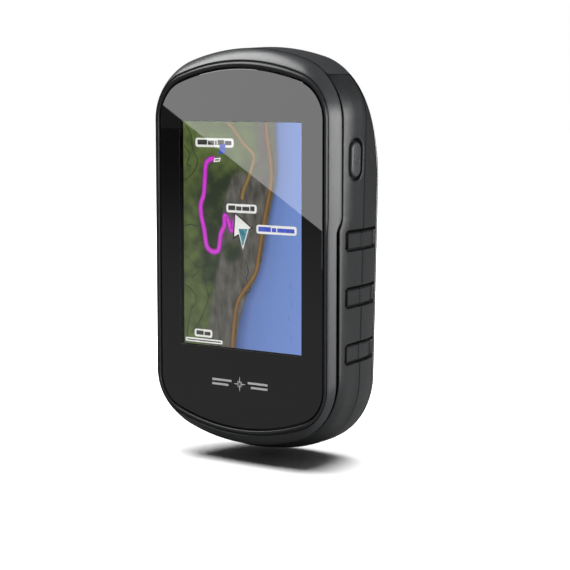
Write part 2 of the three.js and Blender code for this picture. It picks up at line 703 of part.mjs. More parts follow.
// ---------------------------------------------------------------- USB port and its cap
function makeUsbPort() {
  const back = portMouth - port.length;
  const boardSpan = { x: 0, z: portCentre, width: 15.6, height: 11 };
  const cardBack = back - sealGap;
  addPiece('usb_board', centredBlock(boardSpan, cardBack - 1.0, cardBack), 0x1f5a38, 0.45);
  const shellSpan = { x: 0, z: portCentre, width: port.width, height: port.height };
  const shell = centredBlock(shellSpan, back, portMouth);
  const mouth = centredBlock(shellSpan, back + 1.5, portMouth + 1, -port.sheet);
  const tongueSpan = { x: 0, z: portCentre, width: port.width - 3.2, height: 1.0 };
  const tongue = centredBlock(tongueSpan, back + 1, portMouth - 1.2);
  addPiece('usb_port', join(cut(shell, mouth), tongue), 0xc2c5c8, 0.28, 1);
  const ribbonZ = portCentre - 3.2;
  const lead = block(-4, 4, componentFront + 0.1, cardBack - 1.0 - sealGap, ribbonZ, ribbonZ + 0.3);
  addPiece('usb_ribbon', lead, 0xb87333, 0.45);
}

function makeWeatherCap() {
  const lid = overlap(
    cut(bodySolid(0, seamDepth), bodySolid(doorThickness, seamDepth)),
    wideBlock(cap.half, creaseDepth, overallDepth, cap.bottom, capTop),
  );
  const plug = overlap(
    wideBlock(
      cap.plugHalf, portMouth + 1.4, overallDepth,
      portCentre - cap.plugHeight / 2, portCentre + cap.plugHeight / 2,
    ),
    bodySolid(0.8, seamDepth),
  );
  addPiece('weather_cap', join(lid, plug), 0x242527, 0.85);
}

// ---------------------------------------------------------------- battery door and latch
const dishFloorDepth = backDepth - latch.dishDepth;

function makeBatteryDoor() {
  const lid = cut(
    overlap(bodySolid(0, seamDepth), doorZone(0)),
    bodySolid(doorThickness, seamDepth),
  );
  const neckBack = backDepth + railHeight - rail.headDepth;
  const neck = wideBlock(rail.neckHalf, backDepth - 0.5, neckBack + 0.1, rail.bottom, rail.top);
  const head = wideBlock(rail.headHalf, neckBack, backDepth + railHeight, rail.bottom, rail.top);
  const leadIn = strip([
    [neckBack, rail.top + 1], [backDepth + railHeight + 1, rail.top + 1],
    [backDepth + railHeight + 1, rail.top - 4],
  ], -farX, farX);
  const floorBack = dishFloorDepth - latch.dishFloor;
  const boss = bar(0, latch.z, latch.dishRadius + dishRim, floorBack, backDepth - 0.4, 28);
  const dish = bar(0, latch.z, latch.dishRadius, dishFloorDepth, overallDepth, 28);
  const hole = bar(0, latch.z, latch.shaftRadius + latch.play, 0, overallDepth, 24);
  const rib = compartmentRing(rimDepth + sealThickness + 2 * sealGap, backDepth);
  const inside = overlap(join(boss, rib), bodySolid(0.3, seamDepth));
  const door = cut(join(lid, neck, cut(head, leadIn), inside), dish, hole);
  addPiece('battery_door', door, 0x2b2c2e, 0.6);
}

const ringDepth = dishFloorDepth + 1.1;

function makeLatch() {
  const headFront = dishFloorDepth + sealGap * 2;
  const head = bar(0, latch.z, latch.headRadius, headFront, headFront + latch.headDepth, 24);
  const shaft = bar(0, latch.z, latch.shaftRadius, dishSeat - keyholeWall - 2.0, headFront + 0.2);
  const pinHole = crossBar(ringDepth, latch.z, ring.pinRadius + 0.15, latch.headRadius - 0.95, 9, 12);
  const otherHole = crossBar(ringDepth, latch.z, ring.pinRadius + 0.15, -9, -latch.headRadius + 0.95, 12);
  addPiece('latch_stud', cut(join(head, shaft), pinHole, otherHole), 0xa3a6a9, 0.3, 1);
  const barBack = dishSeat - keyholeWall - 0.4;
  const retainer = cut(
    block(
      -latch.barHalf, latch.barHalf, barBack - latch.barDepth, barBack,
      latch.z - latch.barWidth / 2 - 0.5, latch.z + latch.barWidth / 2 + 0.5,
    ),
    bar(0, latch.z, latch.shaftRadius + 0.1, 0, overallDepth, 20),
  );
  addPiece('latch_retainer', retainer, 0xa3a6a9, 0.3, 1);
}

function makeLatchRing() {
  const shape = new THREE.Shape();
  shape.moveTo(-ring.outer, ring.ear);
  shape.lineTo(-ring.outer, 0);
  shape.absarc(0, 0, ring.outer, Math.PI, 2 * Math.PI, false);
  shape.lineTo(ring.outer, ring.ear);
  shape.lineTo(ring.inner, ring.ear);
  shape.lineTo(ring.inner, 0);
  shape.absarc(0, 0, ring.inner, 2 * Math.PI, Math.PI, true);
  shape.lineTo(-ring.inner, ring.ear);
  const geometry = new THREE.ExtrudeGeometry(shape, {
    depth: ring.thickness, bevelEnabled: false, curveSegments: 16,
  });
  geometry.rotateX(Math.PI / 2);
  geometry.translate(0, depthToY(ringDepth + ring.thickness / 2), latch.z);
  const bow = toSolid(geometry);
  const pins = [-1, 1].map((side) => {
    const ends = [side * (ring.inner - ring.pinReach), side * (ring.inner + 0.3)].sort((a, b) => a - b);
    return crossBar(ringDepth, latch.z, ring.pinRadius, ends[0], ends[1], 12);
  });
  addPiece('latch_ring', join(bow, ...pins), 0xb5b8bb, 0.25, 1);
}

// ---------------------------------------------------------------- batteries and contacts
class ConeCoil extends THREE.Curve {
  constructor(turns, wide, narrow, height) {
    super();
    Object.assign(this, { turns, wide, narrow, height });
  }

  getPoint(t, target = new THREE.Vector3()) {
    const angle = t * this.turns * 2 * Math.PI;
    const radius = this.wide + (this.narrow - this.wide) * t;
    return target.set(radius * Math.cos(angle), radius * Math.sin(angle), this.height * t);
  }
}

const coilWire = 0.35;

// A conical spring that stands on a plate at plateZ and points up (+1) or down (-1).
function coilSpring(x, plateZ, direction) {
  const circle = new THREE.Shape();
  circle.absarc(0, 0, coilWire, 0, 2 * Math.PI, false);
  const height = springRoom - contactSheet - 4 * sealGap - 2 * coilWire - 0.3;
  const geometry = new THREE.ExtrudeGeometry(circle, {
    steps: 28, curveSegments: 3, bevelEnabled: false,
    extrudePath: new ConeCoil(2.6, 4.4, 2.6, height),
  });
  if (direction < 0) geometry.rotateX(Math.PI);
  const stand = plateZ + direction * (coilWire + sealGap + 0.1);
  geometry.translate(x, depthToY(cellCentreDepth), stand);
  return toSolid(geometry);
}

function makeCell(name, x, upright) {
  const radius = cellDiameter / 2;
  const shoulder = cellLength - nubLength;
  const profile = [
    [0, 0], [radius - 1.2, 0], [radius - 0.2, 0.4], [radius, 1.0], [radius, shoulder - 1.0],
    [radius - 0.4, shoulder], [2.75, shoulder], [2.75, cellLength - 0.2], [2.5, cellLength],
    [0, cellLength],
  ].map(([r, h]) => new THREE.Vector2(r, h));
  const geometry = new THREE.LatheGeometry(profile, 24);
  geometry.rotateX(Math.PI / 2);
  if (!upright) {
    geometry.rotateX(Math.PI);
    geometry.translate(0, 0, cellLength);
  }
  geometry.translate(x, depthToY(cellCentreDepth), cellBottom);
  addPiece(name, toSolid(geometry), upright ? 0x2f6f4f : 0x35754f, 0.35, 0.4);
}

function makeContacts() {
  const half = cellDiameter / 2 - 2;
  const front = cellCentreDepth - half;
  const back = cellCentreDepth + half;
  const low = compartmentBottom + sealGap;
  const high = compartmentTop - sealGap;
  const bridge = wideBlock(cellCentreX + half, front, back, low, low + contactSheet);
  const bridgePad = block(
    cellCentreX - 3, cellCentreX + 3, cellCentreDepth - 3, cellCentreDepth + 3,
    low + 0.1, cellBottom - sealGap,
  );
  addPiece('bridge_contact', join(bridge, bridgePad), 0xd9d6cc, 0.25, 1);
  addPiece('bridge_spring', coilSpring(-cellCentreX, low + contactSheet, 1), 0xd9d6cc, 0.25, 1);
  const positive = join(
    block(-cellCentreX - half, -cellCentreX + half, front, back, high - contactSheet, high),
    block(
      -cellCentreX - 3, -cellCentreX + 3, cellCentreDepth - 3, cellCentreDepth + 3,
      cellTop + sealGap, high - 0.1,
    ),
  );
  addPiece('positive_contact', positive, 0xd9d6cc, 0.25, 1);
  const negative = block(cellCentreX - half, cellCentreX + half, front, back, high - contactSheet, high);
  addPiece('negative_contact', negative, 0xd9d6cc, 0.25, 1);
  addPiece('negative_spring', coilSpring(cellCentreX, high - contactSheet, -1), 0xd9d6cc, 0.25, 1);
}

makeFrontBezel();
makeGlass();
makeDisplay();
makeRibbons();
makeMainBoard();
makeBoardScrews();
makeShieldedChips();
makeAntennaAndBeeper();
makeMemoryCard();
makePowerKey();
makePowerSwitch();
makeRearCase();
makeSeals();
makeSideGrip();
makeCaseScrews();
makeUsbPort();
makeWeatherCap();
makeBatteryDoor();
makeLatch();
makeLatchRing();
makeCell('battery_left', -cellCentreX, true);
makeCell('battery_right', cellCentreX, false);
makeContacts();

export default unit;
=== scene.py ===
"""Looks of a pocket satellite navigator: fine shells, glass, lit chart, rubber grip and fittings.

Sizes are in millimetres and become metres when a mesh is placed. A depth is counted rearwards from
the front face of the glass, +Z is up the long side and the screen faces -Y.
"""
import logging
from contextlib import contextmanager
from dataclasses import astuple, dataclass, replace
from enum import Enum
from functools import lru_cache
from math import acos, atan2, copysign, cos, dist, hypot, pi, radians, sin, sqrt, tau
from typing import Any, Callable, Iterator, Sequence

import bpy
from mathutils import Matrix, Vector


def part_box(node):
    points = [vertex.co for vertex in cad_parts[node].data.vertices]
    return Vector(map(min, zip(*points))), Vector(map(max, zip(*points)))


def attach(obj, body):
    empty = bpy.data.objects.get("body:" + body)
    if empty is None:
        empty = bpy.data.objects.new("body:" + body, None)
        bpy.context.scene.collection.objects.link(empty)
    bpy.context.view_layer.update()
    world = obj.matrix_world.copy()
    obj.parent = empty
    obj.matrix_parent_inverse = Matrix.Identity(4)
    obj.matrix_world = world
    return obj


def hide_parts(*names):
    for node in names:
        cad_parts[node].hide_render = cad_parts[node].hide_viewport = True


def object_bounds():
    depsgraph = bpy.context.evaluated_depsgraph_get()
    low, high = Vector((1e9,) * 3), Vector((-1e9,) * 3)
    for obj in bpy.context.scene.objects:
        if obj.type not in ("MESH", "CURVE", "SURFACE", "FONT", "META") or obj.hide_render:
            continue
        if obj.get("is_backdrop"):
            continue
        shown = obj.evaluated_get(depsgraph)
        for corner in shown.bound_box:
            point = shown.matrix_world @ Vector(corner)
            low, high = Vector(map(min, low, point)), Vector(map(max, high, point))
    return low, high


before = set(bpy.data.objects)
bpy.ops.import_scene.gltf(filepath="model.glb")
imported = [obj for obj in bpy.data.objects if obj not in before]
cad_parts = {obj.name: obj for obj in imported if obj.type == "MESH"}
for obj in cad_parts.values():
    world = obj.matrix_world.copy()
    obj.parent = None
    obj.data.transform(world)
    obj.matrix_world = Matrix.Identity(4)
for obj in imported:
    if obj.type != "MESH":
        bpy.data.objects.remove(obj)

LOG = logging.getLogger("navigator")
MM = 0.001
FRONT_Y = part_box("touch_lens")[0].y
MERGE = 2e-6
Piece = bpy.types.Object
Socket = bpy.types.NodeSocket
Material = bpy.types.Material
Point = tuple[float, float]
Colour = tuple[float, float, float]
Line = Sequence[Point]
Turn = tuple[float, float, float]
EdgeTest = Callable[[Vector, Vector], bool]


# ---------------- small sums
def spot(x: float, depth: float, z: float) -> Vector:
    """A place in the row frame, in metres, from a width, a depth and a height in millimetres."""
    return Vector((x * MM, FRONT_Y + depth * MM, z * MM))


def smooth(share: float) -> float:
    """A soft step from 0 to 1 as share runs from 0 to 1."""
    share = min(max(share, 0.0), 1.0)
    return share * share * (3 - 2 * share)


def between(low: float, high: float, count: int) -> list[float]:
    """Evenly spaced values from low up to, but without, high."""
    return [low + (high - low) * i / count for i in range(count)]


def tone(red: int, green: int, blue: int) -> Colour:
    """A linear colour from its three display values of 0 to 255."""
    def linear(value: int) -> float:
        share = value / 255
        return share / 12.92 if share <= 0.04045 else ((share + 0.055) / 1.055) ** 2.4
    return linear(red), linear(green), linear(blue)


def shade(colour: Colour, share: float) -> Colour:
    """A colour made lighter or darker by a share."""
    return tuple(min(value * share, 1) for value in colour)


def on_side(side: int, inner: float, outer: float) -> Point:
    """Two widths counted outwards on one side of the middle, the lower one first."""
    low, high = sorted((side * inner, side * outer))
    return low, high


def box_of(node: str) -> list[tuple[float, float, float]]:
    """Lower and upper corner of a node, each as a width, a depth and a height."""
    return [(corner.x / MM, (corner.y - FRONT_Y) / MM, corner.z / MM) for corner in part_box(node)]


def value_along(points: Line, at: float) -> float:
    """The second value of a line of points, read where their first value, which rises, is at."""
    for (a, va), (b, vb) in zip(points, points[1:]):
        if at <= b:
            return va + (vb - va) * min(max((at - a) / (b - a), 0), 1)
    return points[-1][1]


def curve_through(points: Line, steps: int = 6) -> list[Point]:
    """A smooth line through points.

    Args:
        points: the places it passes.
        steps: stations between two of them.

    Returns:
        The stations of the line.
    """
    ends = [points[0], *points, points[-1]]
    line = []
    for a, b, c, d in zip(ends, ends[1:], ends[2:], ends[3:]):
        for i in range(steps):
            t = i / steps
            line.append(tuple(
                q + ((r - p) * t + (2 * p - 5 * q + 4 * r - s) * t**2 + (3 * q - p - 3 * r + s) * t**3) / 2
                for p, q, r, s in zip(a, b, c, d)
            ))
    return [*line, points[-1]]


def beside(points: Line, row: int, across: float) -> Point:
    """The place beside a line's station, by a distance to its right."""
    before, after = points[max(row - 1, 0)], points[min(row + 1, len(points) - 1)]
    run = dist(before, after) or 1.0
    x, z = points[row]
    return x + (after[1] - before[1]) / run * across, z - (after[0] - before[0]) / run * across


def corner_points(x: Point, z: Point, corner: float, steps: int) -> list[Point]:
    """Points round the corners of a rectangle, a fifth of a quarter turn apart.

    Args:
        x: left and right side.
        z: lower and upper side.
        corner: radius of the corners.
        steps: points at each corner.

    Returns:
        The points, anticlockwise from the right side.
    """
    inward = (corner, -corner)
    points = []
    for start, (side, end) in enumerate(((1, 1), (0, 1), (0, 0), (1, 0))):
        for i in range(steps):
            angle = (start + i / 5) * pi / 2
            across, rise = corner * cos(angle), corner * sin(angle)
            points.append((x[side] + inward[side] + across, z[end] + inward[end] + rise))
    return points


# ---------------- work on meshes
class Cut(Enum):
    """How one solid is combined with another."""

    AWAY = "DIFFERENCE"
    JOIN = "UNION"
    KEEP = "INTERSECT"


def clear_selection() -> None:
    """Leaves nothing selected."""
    bpy.ops.object.select_all(action="DESELECT")


def take(piece: Piece) -> None:
    """Selects one piece alone and makes it active."""
    clear_selection()
    piece.select_set(True)
    bpy.context.view_layer.objects.active = piece


@contextmanager
def editing(piece: Piece, chosen: EdgeTest | None = None) -> Iterator[None]:
    """Edit mode on one piece, with all of it selected, or only the edges chosen by their two ends."""
    take(piece)
    bpy.context.tool_settings.mesh_select_mode = (False, True, False)
    mesh = piece.data
    if chosen:
        for kind in (mesh.vertices, mesh.polygons):
            kind.foreach_set("select", [False] * len(kind))
        for edge in mesh.edges:
            ends = [mesh.vertices[i] for i in edge.vertices]
            edge.select = chosen(ends[0].co, ends[1].co)
            for end in ends:
                end.select = end.select or edge.select
    bpy.ops.object.mode_set(mode="EDIT")
    if not chosen:
        bpy.ops.mesh.select_all(action="SELECT")
    yield
    bpy.ops.object.mode_set(mode="OBJECT")


def settle(piece: Piece, name: str) -> Piece:
    """Names a new primitive and puts its place and size into its mesh."""
    piece.name = piece.data.name = name
    take(piece)
    bpy.ops.object.transform_apply(location=True, rotation=True, scale=True)
    return piece


def finish_with(piece: Piece, kind: str, **settings: Any) -> Piece:
    """Adds a modifier of a kind, sets it and applies it."""
    take(piece)
    modifier = piece.modifiers.new(kind.title(), kind)
    for key, value in settings.items():
        setattr(modifier, key, value)
    bpy.ops.object.modifier_apply(modifier=modifier.name)
    return piece


def combine(piece: Piece, how: Cut, *tools: Piece) -> Piece:
    """Cuts, joins or overlaps a piece with tools, which are used up."""
    for tool in tools:
        finish_with(piece, "BOOLEAN", operation=how.value, object=tool, solver="MANIFOLD")
        bpy.data.objects.remove(tool)
    return piece


def copy_of(piece: Piece, name: str) -> Piece:
    """A copy with a mesh of its own."""
    twin = piece.copy()
    twin.data = piece.data.copy()
    twin.name = twin.data.name = name
    bpy.context.scene.collection.objects.link(twin)
    return twin


def soften(piece: Piece, degrees: float = 35) -> Piece:
    """Smooth shading, with creases where faces meet at more than an angle."""
    take(piece)
    bpy.ops.object.shade_smooth_by_angle(angle=radians(degrees))
    return piece


def even_out(piece: Piece, degrees: float = 30) -> Piece:
    """Smooth shading for a cut solid, in which the wide faces stay flat."""
    soften(piece, degrees)
    return finish_with(piece, "WEIGHTED_NORMAL", keep_sharp=True, weight=80)


def round_edges(piece: Piece, width: float, segments: int = 3, degrees: float = 40) -> Piece:
    """Rounds the edges sharper than an angle, by a width in millimetres."""
    return finish_with(
        piece, "BEVEL", width=width * MM, segments=segments, limit_method="ANGLE",
        angle_limit=radians(degrees), harden_normals=False,
    )


def merge_pieces(name: str, *pieces: Piece) -> Piece:
    """Makes several loose pieces one object with all their materials."""
    clear_selection()
    for piece in pieces:
        piece.select_set(True)
    bpy.context.view_layer.objects.active = pieces[0]
    bpy.ops.object.join()
    pieces[0].name = pieces[0].data.name = name
    return pieces[0]


def draw_skin(name: str, columns: int, rows: int, place: Callable[[int, int], Vector]) -> Piece:
    """Lays a grid primitive over stations and merges what meets.

    Args:
        name: name of the new piece.
        columns: stations one way.
        rows: stations the other way.
        place: gives the place of a crossing from its column and row.

    Returns:
        The skin, with its grid's own UV map.
    """
    clear_selection()
    bpy.ops.mesh.primitive_grid_add(x_subdivisions=columns - 1, y_subdivisions=rows - 1)
    piece = bpy.context.object
    piece.name = piece.data.name = name
    places = [value for row in range(rows) for column in range(columns) for value in place(column, row)]
    piece.matrix_world = Matrix.Identity(4)
    piece.data.vertices.foreach_set("co", places)
    piece.data.update()
    with editing(piece):
        bpy.ops.mesh.remove_doubles(threshold=MERGE)
    return piece


def close_skin(piece: Piece) -> Piece:
    """Fills the open ends of a skin and turns its faces outwards."""
    with editing(piece):
        bpy.ops.mesh.fill_holes(sides=0)
        bpy.ops.mesh.select_all(action="SELECT")
        bpy.ops.mesh.normals_make_consistent(inside=False)
    return piece


def face_front(piece: Piece) -> Piece:
    """Turns a flat sheet to the front."""
    if piece.data.polygons[0].normal.y > 0:
        with editing(piece):
            bpy.ops.mesh.flip_normals()
    return piece


def block(name: str, x: Point | float, depth: Point, z: Point) -> Piece:
    """A block between two widths (or over a half width), two depths and two heights."""
    x = (-x, x) if isinstance(x, float) else x
    low, high = spot(x[0], depth[0], z[0]), spot(x[1], depth[1], z[1])
    clear_selection()
    bpy.ops.mesh.primitive_cube_add(size=1, location=(low + high) / 2, scale=high - low)
    return settle(bpy.context.object, name)


def cylinder(name: str, middle: Vector, radius: float, length: float, turn: Turn, sides: int) -> Piece:
    """A round bar about its middle, turned from upright by three angles."""
    clear_selection()
    bpy.ops.mesh.primitive_cylinder_add(
        vertices=sides, radius=radius * MM, depth=length * MM, location=middle, rotation=turn,
    )
    return settle(bpy.context.object, name)


def rod(name: str, x: float, z: float, radius: float, depth: Point, sides: int = 64) -> Piece:
    """A round bar along the depth."""
    middle = spot(x, sum(depth) / 2, z)
    return cylinder(name, middle, radius, depth[1] - depth[0], (pi / 2, 0, 0), sides)


def cross_rod(name: str, depth: float, z: float, radius: float, x: Point, sides: int = 32) -> Piece:
    """A round bar along X."""
    middle = spot(sum(x) / 2, depth, z)
    return cylinder(name, middle, radius, x[1] - x[0], (0, pi / 2, 0), sides)


def room_for(node: str, gap: float, depth: Point) -> Piece:
    """A block over a node's width and height, with a gap all round, between two depths."""
    (left, _, low), (right, _, high) = box_of(node)
    return block(f"room_{node}", (left - gap, right + gap), depth, (low - gap, high + gap))


def round_uprights(piece: Piece, radius: float, segments: int) -> Piece:
    """Rounds the edges of a block that run along the depth."""
    with editing(piece, lambda a, b: abs(a.y - b.y) > MM):
        bpy.ops.mesh.bevel(offset=radius * MM, segments=segments, affect="EDGES")
    return piece


def upright_slot(name: str, depth: float, z: float, size: Point, x: Point) -> Piece:
    """A bar along X whose section is a standing slot with round ends.

    Args:
        name: name of the new piece.
        depth: depth of its middle.
        z: height of its middle.
        size: width and height of the slot.
        x: where the bar starts and ends.

    Returns:
        The closed bar.
    """
    radius = size[0] / 2
    straight = size[1] / 2 - radius
    piece = cross_rod(name, depth, z, radius, x, 64)
    for vertex in piece.data.vertices:
        vertex.co.z += copysign(straight * MM, vertex.co.z - z * MM)
    return piece


# ---------------- form of the body
@dataclass(frozen=True)
class Outline:
    """A rounded outline seen from the front: straight sides, round corners and shallow crowns."""

    half: float
    top: float
    bottom: float
    top_corner: float
    top_crown: float
    bottom_corner: float
    bottom_crown: float

    def mixed(self, other: "Outline", share: float) -> "Outline":
        """The outline that lies a share of the way to another."""
        return Outline(*(a + (b - a) * share for a, b in zip(astuple(self), astuple(other))))

    def inset(self, skin: float) -> "Outline":
        """The outline with an even skin taken off."""
        return Outline(
            self.half - skin, self.top - skin, self.bottom + skin, self.top_corner - skin,
            self.top_crown - skin, self.bottom_corner - skin, self.bottom_crown - skin,
        )

    def end(self, sign: int) -> tuple[float, float, float, float, float, float]:
        """Crown centre, crown radius, corner centre (two values), corner radius and join angle."""
        height, corner, crown = (
            (self.top, self.top_corner, self.top_crown) if sign > 0
            else (-self.bottom, self.bottom_corner, self.bottom_crown)
        )
        corner_x = self.half - corner
        rise = sqrt(max((crown - corner) ** 2 - corner_x**2, 0))
        centre = height - crown
        return centre, crown, corner_x, centre + rise, corner, atan2(rise, corner_x)

    def end_points(self, sign: int, corner_steps: int, crown_steps: int) -> list[Point]:
        """Points of one end, from the right side over the crown to the left side."""
        centre, crown, corner_x, corner_z, corner, join = self.end(sign)
        right = [
            (corner_x + corner * cos(a), corner_z + corner * sin(a))
            for a in between(0, join, corner_steps)
        ]
        over = [
            (crown * cos(a), centre + crown * sin(a))
            for a in [*between(join, pi - join, crown_steps), pi - join]
        ]
        points = [*right, *over, *((-x, z) for x, z in reversed(right))]
        return [(x, sign * z) for x, z in points]

    def ring(
        self, side_shares: Sequence[float], corner_steps: int = 22, crown_steps: int = 28,
    ) -> list[Point]:
        """Points all round, anticlockwise as seen from the front, closed on its first point.

        Args:
            side_shares: stations up a straight side, as rising shares between 0 and 1.
            corner_steps: steps round a corner.
            crown_steps: steps over a crown.

        Returns:
            Width and height of each point.
        """
        upper = self.end_points(1, corner_steps, crown_steps)
        lower = list(reversed(self.end_points(-1, corner_steps, crown_steps)))
        low, high = lower[-1][1], upper[0][1]
        right = [(self.half, low + (high - low) * share) for share in side_shares]
        left = [(-x, z) for x, z in reversed(right)]
        return [*upper, *left, *lower, *right, upper[0]]

    def reach(self, z: float) -> float:
        """Half of the outline's width at a height."""
        for sign in (1, -1):
            centre, crown, corner_x, corner_z, corner, join = self.end(sign)
            rise = sign * z - corner_z
            if rise > corner * sin(join):
                return sqrt(max(crown**2 - (sign * z - centre) ** 2, 0))
            if rise > 0:
                return corner_x + sqrt(corner**2 - rise**2)
        return self.half

    def crown_height(self, x: float) -> float:
        """Height of the top end over a width."""
        centre, crown, corner_x, corner_z, corner, join = self.end(1)
        if abs(x) <= crown * cos(join):
            return centre + sqrt(crown**2 - x**2)
        return corner_z + sqrt(max(corner**2 - (abs(x) - corner_x) ** 2, 0))


@dataclass(frozen=True)
class BodyForm:
    """The outer form that every shell of the unit follows."""

    height: float = 102.0
    width: float = 57.6
    rim_proud: float = 0.3
    seam_depth: float = 3.9
    crease_depth: float = 12.0
    back_depth: float = 28.5
    back_curve: float = 1.5
    rear_edge: float = 2.2
    taper: float = 0.051
    taper_depth: float = 8.0

    @property
    def seam(self) -> Outline:
        """Outline where the bezel ends."""
        return Outline(self.width / 2, self.height - 0.4, 1.5, 16.0, 56.9, 18.1, 50.5)

    @property
    def glass(self) -> Outline:
        """Outline of the glass."""
        return Outline(self.width / 2 - 3.25, self.height - 5.5, 6.7, 9.9, 56.6, 8.9, 57.1)

    @property
    def rim(self) -> Outline:
        """Outline at the front edge of the rim."""
        return self.glass.inset(-1.1)

    @lru_cache(maxsize=None)
    def outline(self, depth: float, skin: float = 0.0) -> Outline:
        """Outline of the body at a depth, with a skin taken off, before the sides' taper."""
        seam = self.seam
        crease = replace(seam, half=seam.half - 0.9, top=self.height, bottom=0.0)
        flat = replace(seam, half=seam.half - 7.4, top=self.height - 26.8, bottom=0.5)
        if depth < self.seam_depth:
            cosine = 1 - (depth + self.rim_proud) / (self.seam_depth + self.rim_proud)
            return self.rim.mixed(seam, sqrt(max(1 - cosine**2, 0))).inset(skin)
        if depth < self.crease_depth:
            share = (depth - self.seam_depth) / (self.crease_depth - self.seam_depth)
            return seam.mixed(crease, share).inset(skin)
        back = self.back_depth - skin
        share = min((depth - self.crease_depth) / (back - self.crease_depth), 1)
        draw_in = 1 - (1 - share**self.back_curve) ** (1 / self.back_curve)
        edge = max(depth - (back - self.rear_edge), 0)
        edge_inset = self.rear_edge - sqrt(max(self.rear_edge**2 - edge**2, 0))
        return crease.mixed(flat, draw_in).inset(skin + edge_inset)

    def spread(self, depth: float, z: float) -> float:
        """How much the sides' taper widens the body at a depth and height."""
        built = min(max((depth - self.seam_depth) / self.taper_depth, 0), 1) * self.taper
        return 1 + built * (z - self.height * 0.504) / (self.height / 2)

    def side(self, depth: float, z: float, skin: float = 0.0) -> float:
        """How far out the side is at a depth and height."""
        return self.outline(depth, skin).reach(z) * self.spread(depth, z)

    def ring(self, depth: float, skin: float, shares: Sequence[float]) -> list[Vector]:
        """The body's ring at a depth, as places."""
        return [
            spot(x * self.spread(depth, z), depth, z)
            for x, z in self.outline(depth, skin).ring(shares)
        ]

    @lru_cache(maxsize=None)
    def lower_run(self, depth: float, skin: float, z: float, count: int) -> tuple[Point, ...]:
        """Stations from the right side at a height round the lower end to the left side.

        Args:
            depth: depth of the run.
            skin: skin taken off.
            z: height where it starts and ends.
            count: number of stations.

        Returns:
            Width and height of each station, evenly spaced along the run.
        """
        outline = self.outline(depth, skin)
        low = outline.end_points(-1, 40, 40)
        line = [(outline.half, z), *low, (-outline.half, z)]
        line = [(x * self.spread(depth, h), h) for x, h in line]
        lengths = [0.0]
        for a, b in zip(line, line[1:]):
            lengths.append(lengths[-1] + dist(a, b))
        wide = [(length, x) for length, (x, _) in zip(lengths, line)]
        high = [(length, h) for length, (_, h) in zip(lengths, line)]
        stations = [lengths[-1] * i / (count - 1) for i in range(count)]
        return tuple((value_along(wide, s), value_along(high, s)) for s in stations)

    def rear_depth(self, x: float, z: float, skin: float = 0.0) -> float:
        """Depth of the rear surface over the upper end at a width and height."""
        low, high = self.crease_depth, self.back_depth - skin
        for _ in range(30):
            middle = (low + high) / 2
            inside = self.outline(middle, skin).crown_height(x / self.spread(middle, z)) > z
            low, high = (middle, high) if inside else (low, middle)
        return low

    def solid(self, name: str, skin: float, start: float, stop: float | None = None) -> Piece:
        """The body between two depths, as a fine closed solid for cutting.

        Args:
            name: name of the new piece.
            skin: skin taken off all round and off the back.
            start: front depth.
            stop: rear depth, or None for the back.

        Returns:
            The solid.
        """
        back = self.back_depth - skin
        stop = back if stop is None else min(stop, back)
        depths = {start, stop, self.seam_depth, self.seam_depth + self.taper_depth}
        turns = [i * pi / 2 / 20 for i in range(1, 21)]
        front = self.seam_depth + self.rim_proud
        depths |= {front * (1 - cos(turn)) - self.rim_proud for turn in turns}
        depths |= {
            self.crease_depth + (back - self.crease_depth) * sin(turn) ** (2 / self.back_curve)
            for turn in turns
        }
        depths |= {back - self.rear_edge * (1 - sin(turn)) for turn in turns[::3]}
        kept: list[float] = []
        for depth in sorted(d for d in depths if start <= d <= stop):
            if not kept or depth - kept[-1] > 0.03:
                kept.append(depth)
        kept[-1] = stop
        shares = [i / 12 for i in range(1, 12)]
        rings = [self.ring(depth, skin, shares) for depth in kept]
        piece = draw_skin(name, len(rings[0]), len(rings), lambda column, row: rings[row][column])
        return close_skin(piece)


FORM = BodyForm()


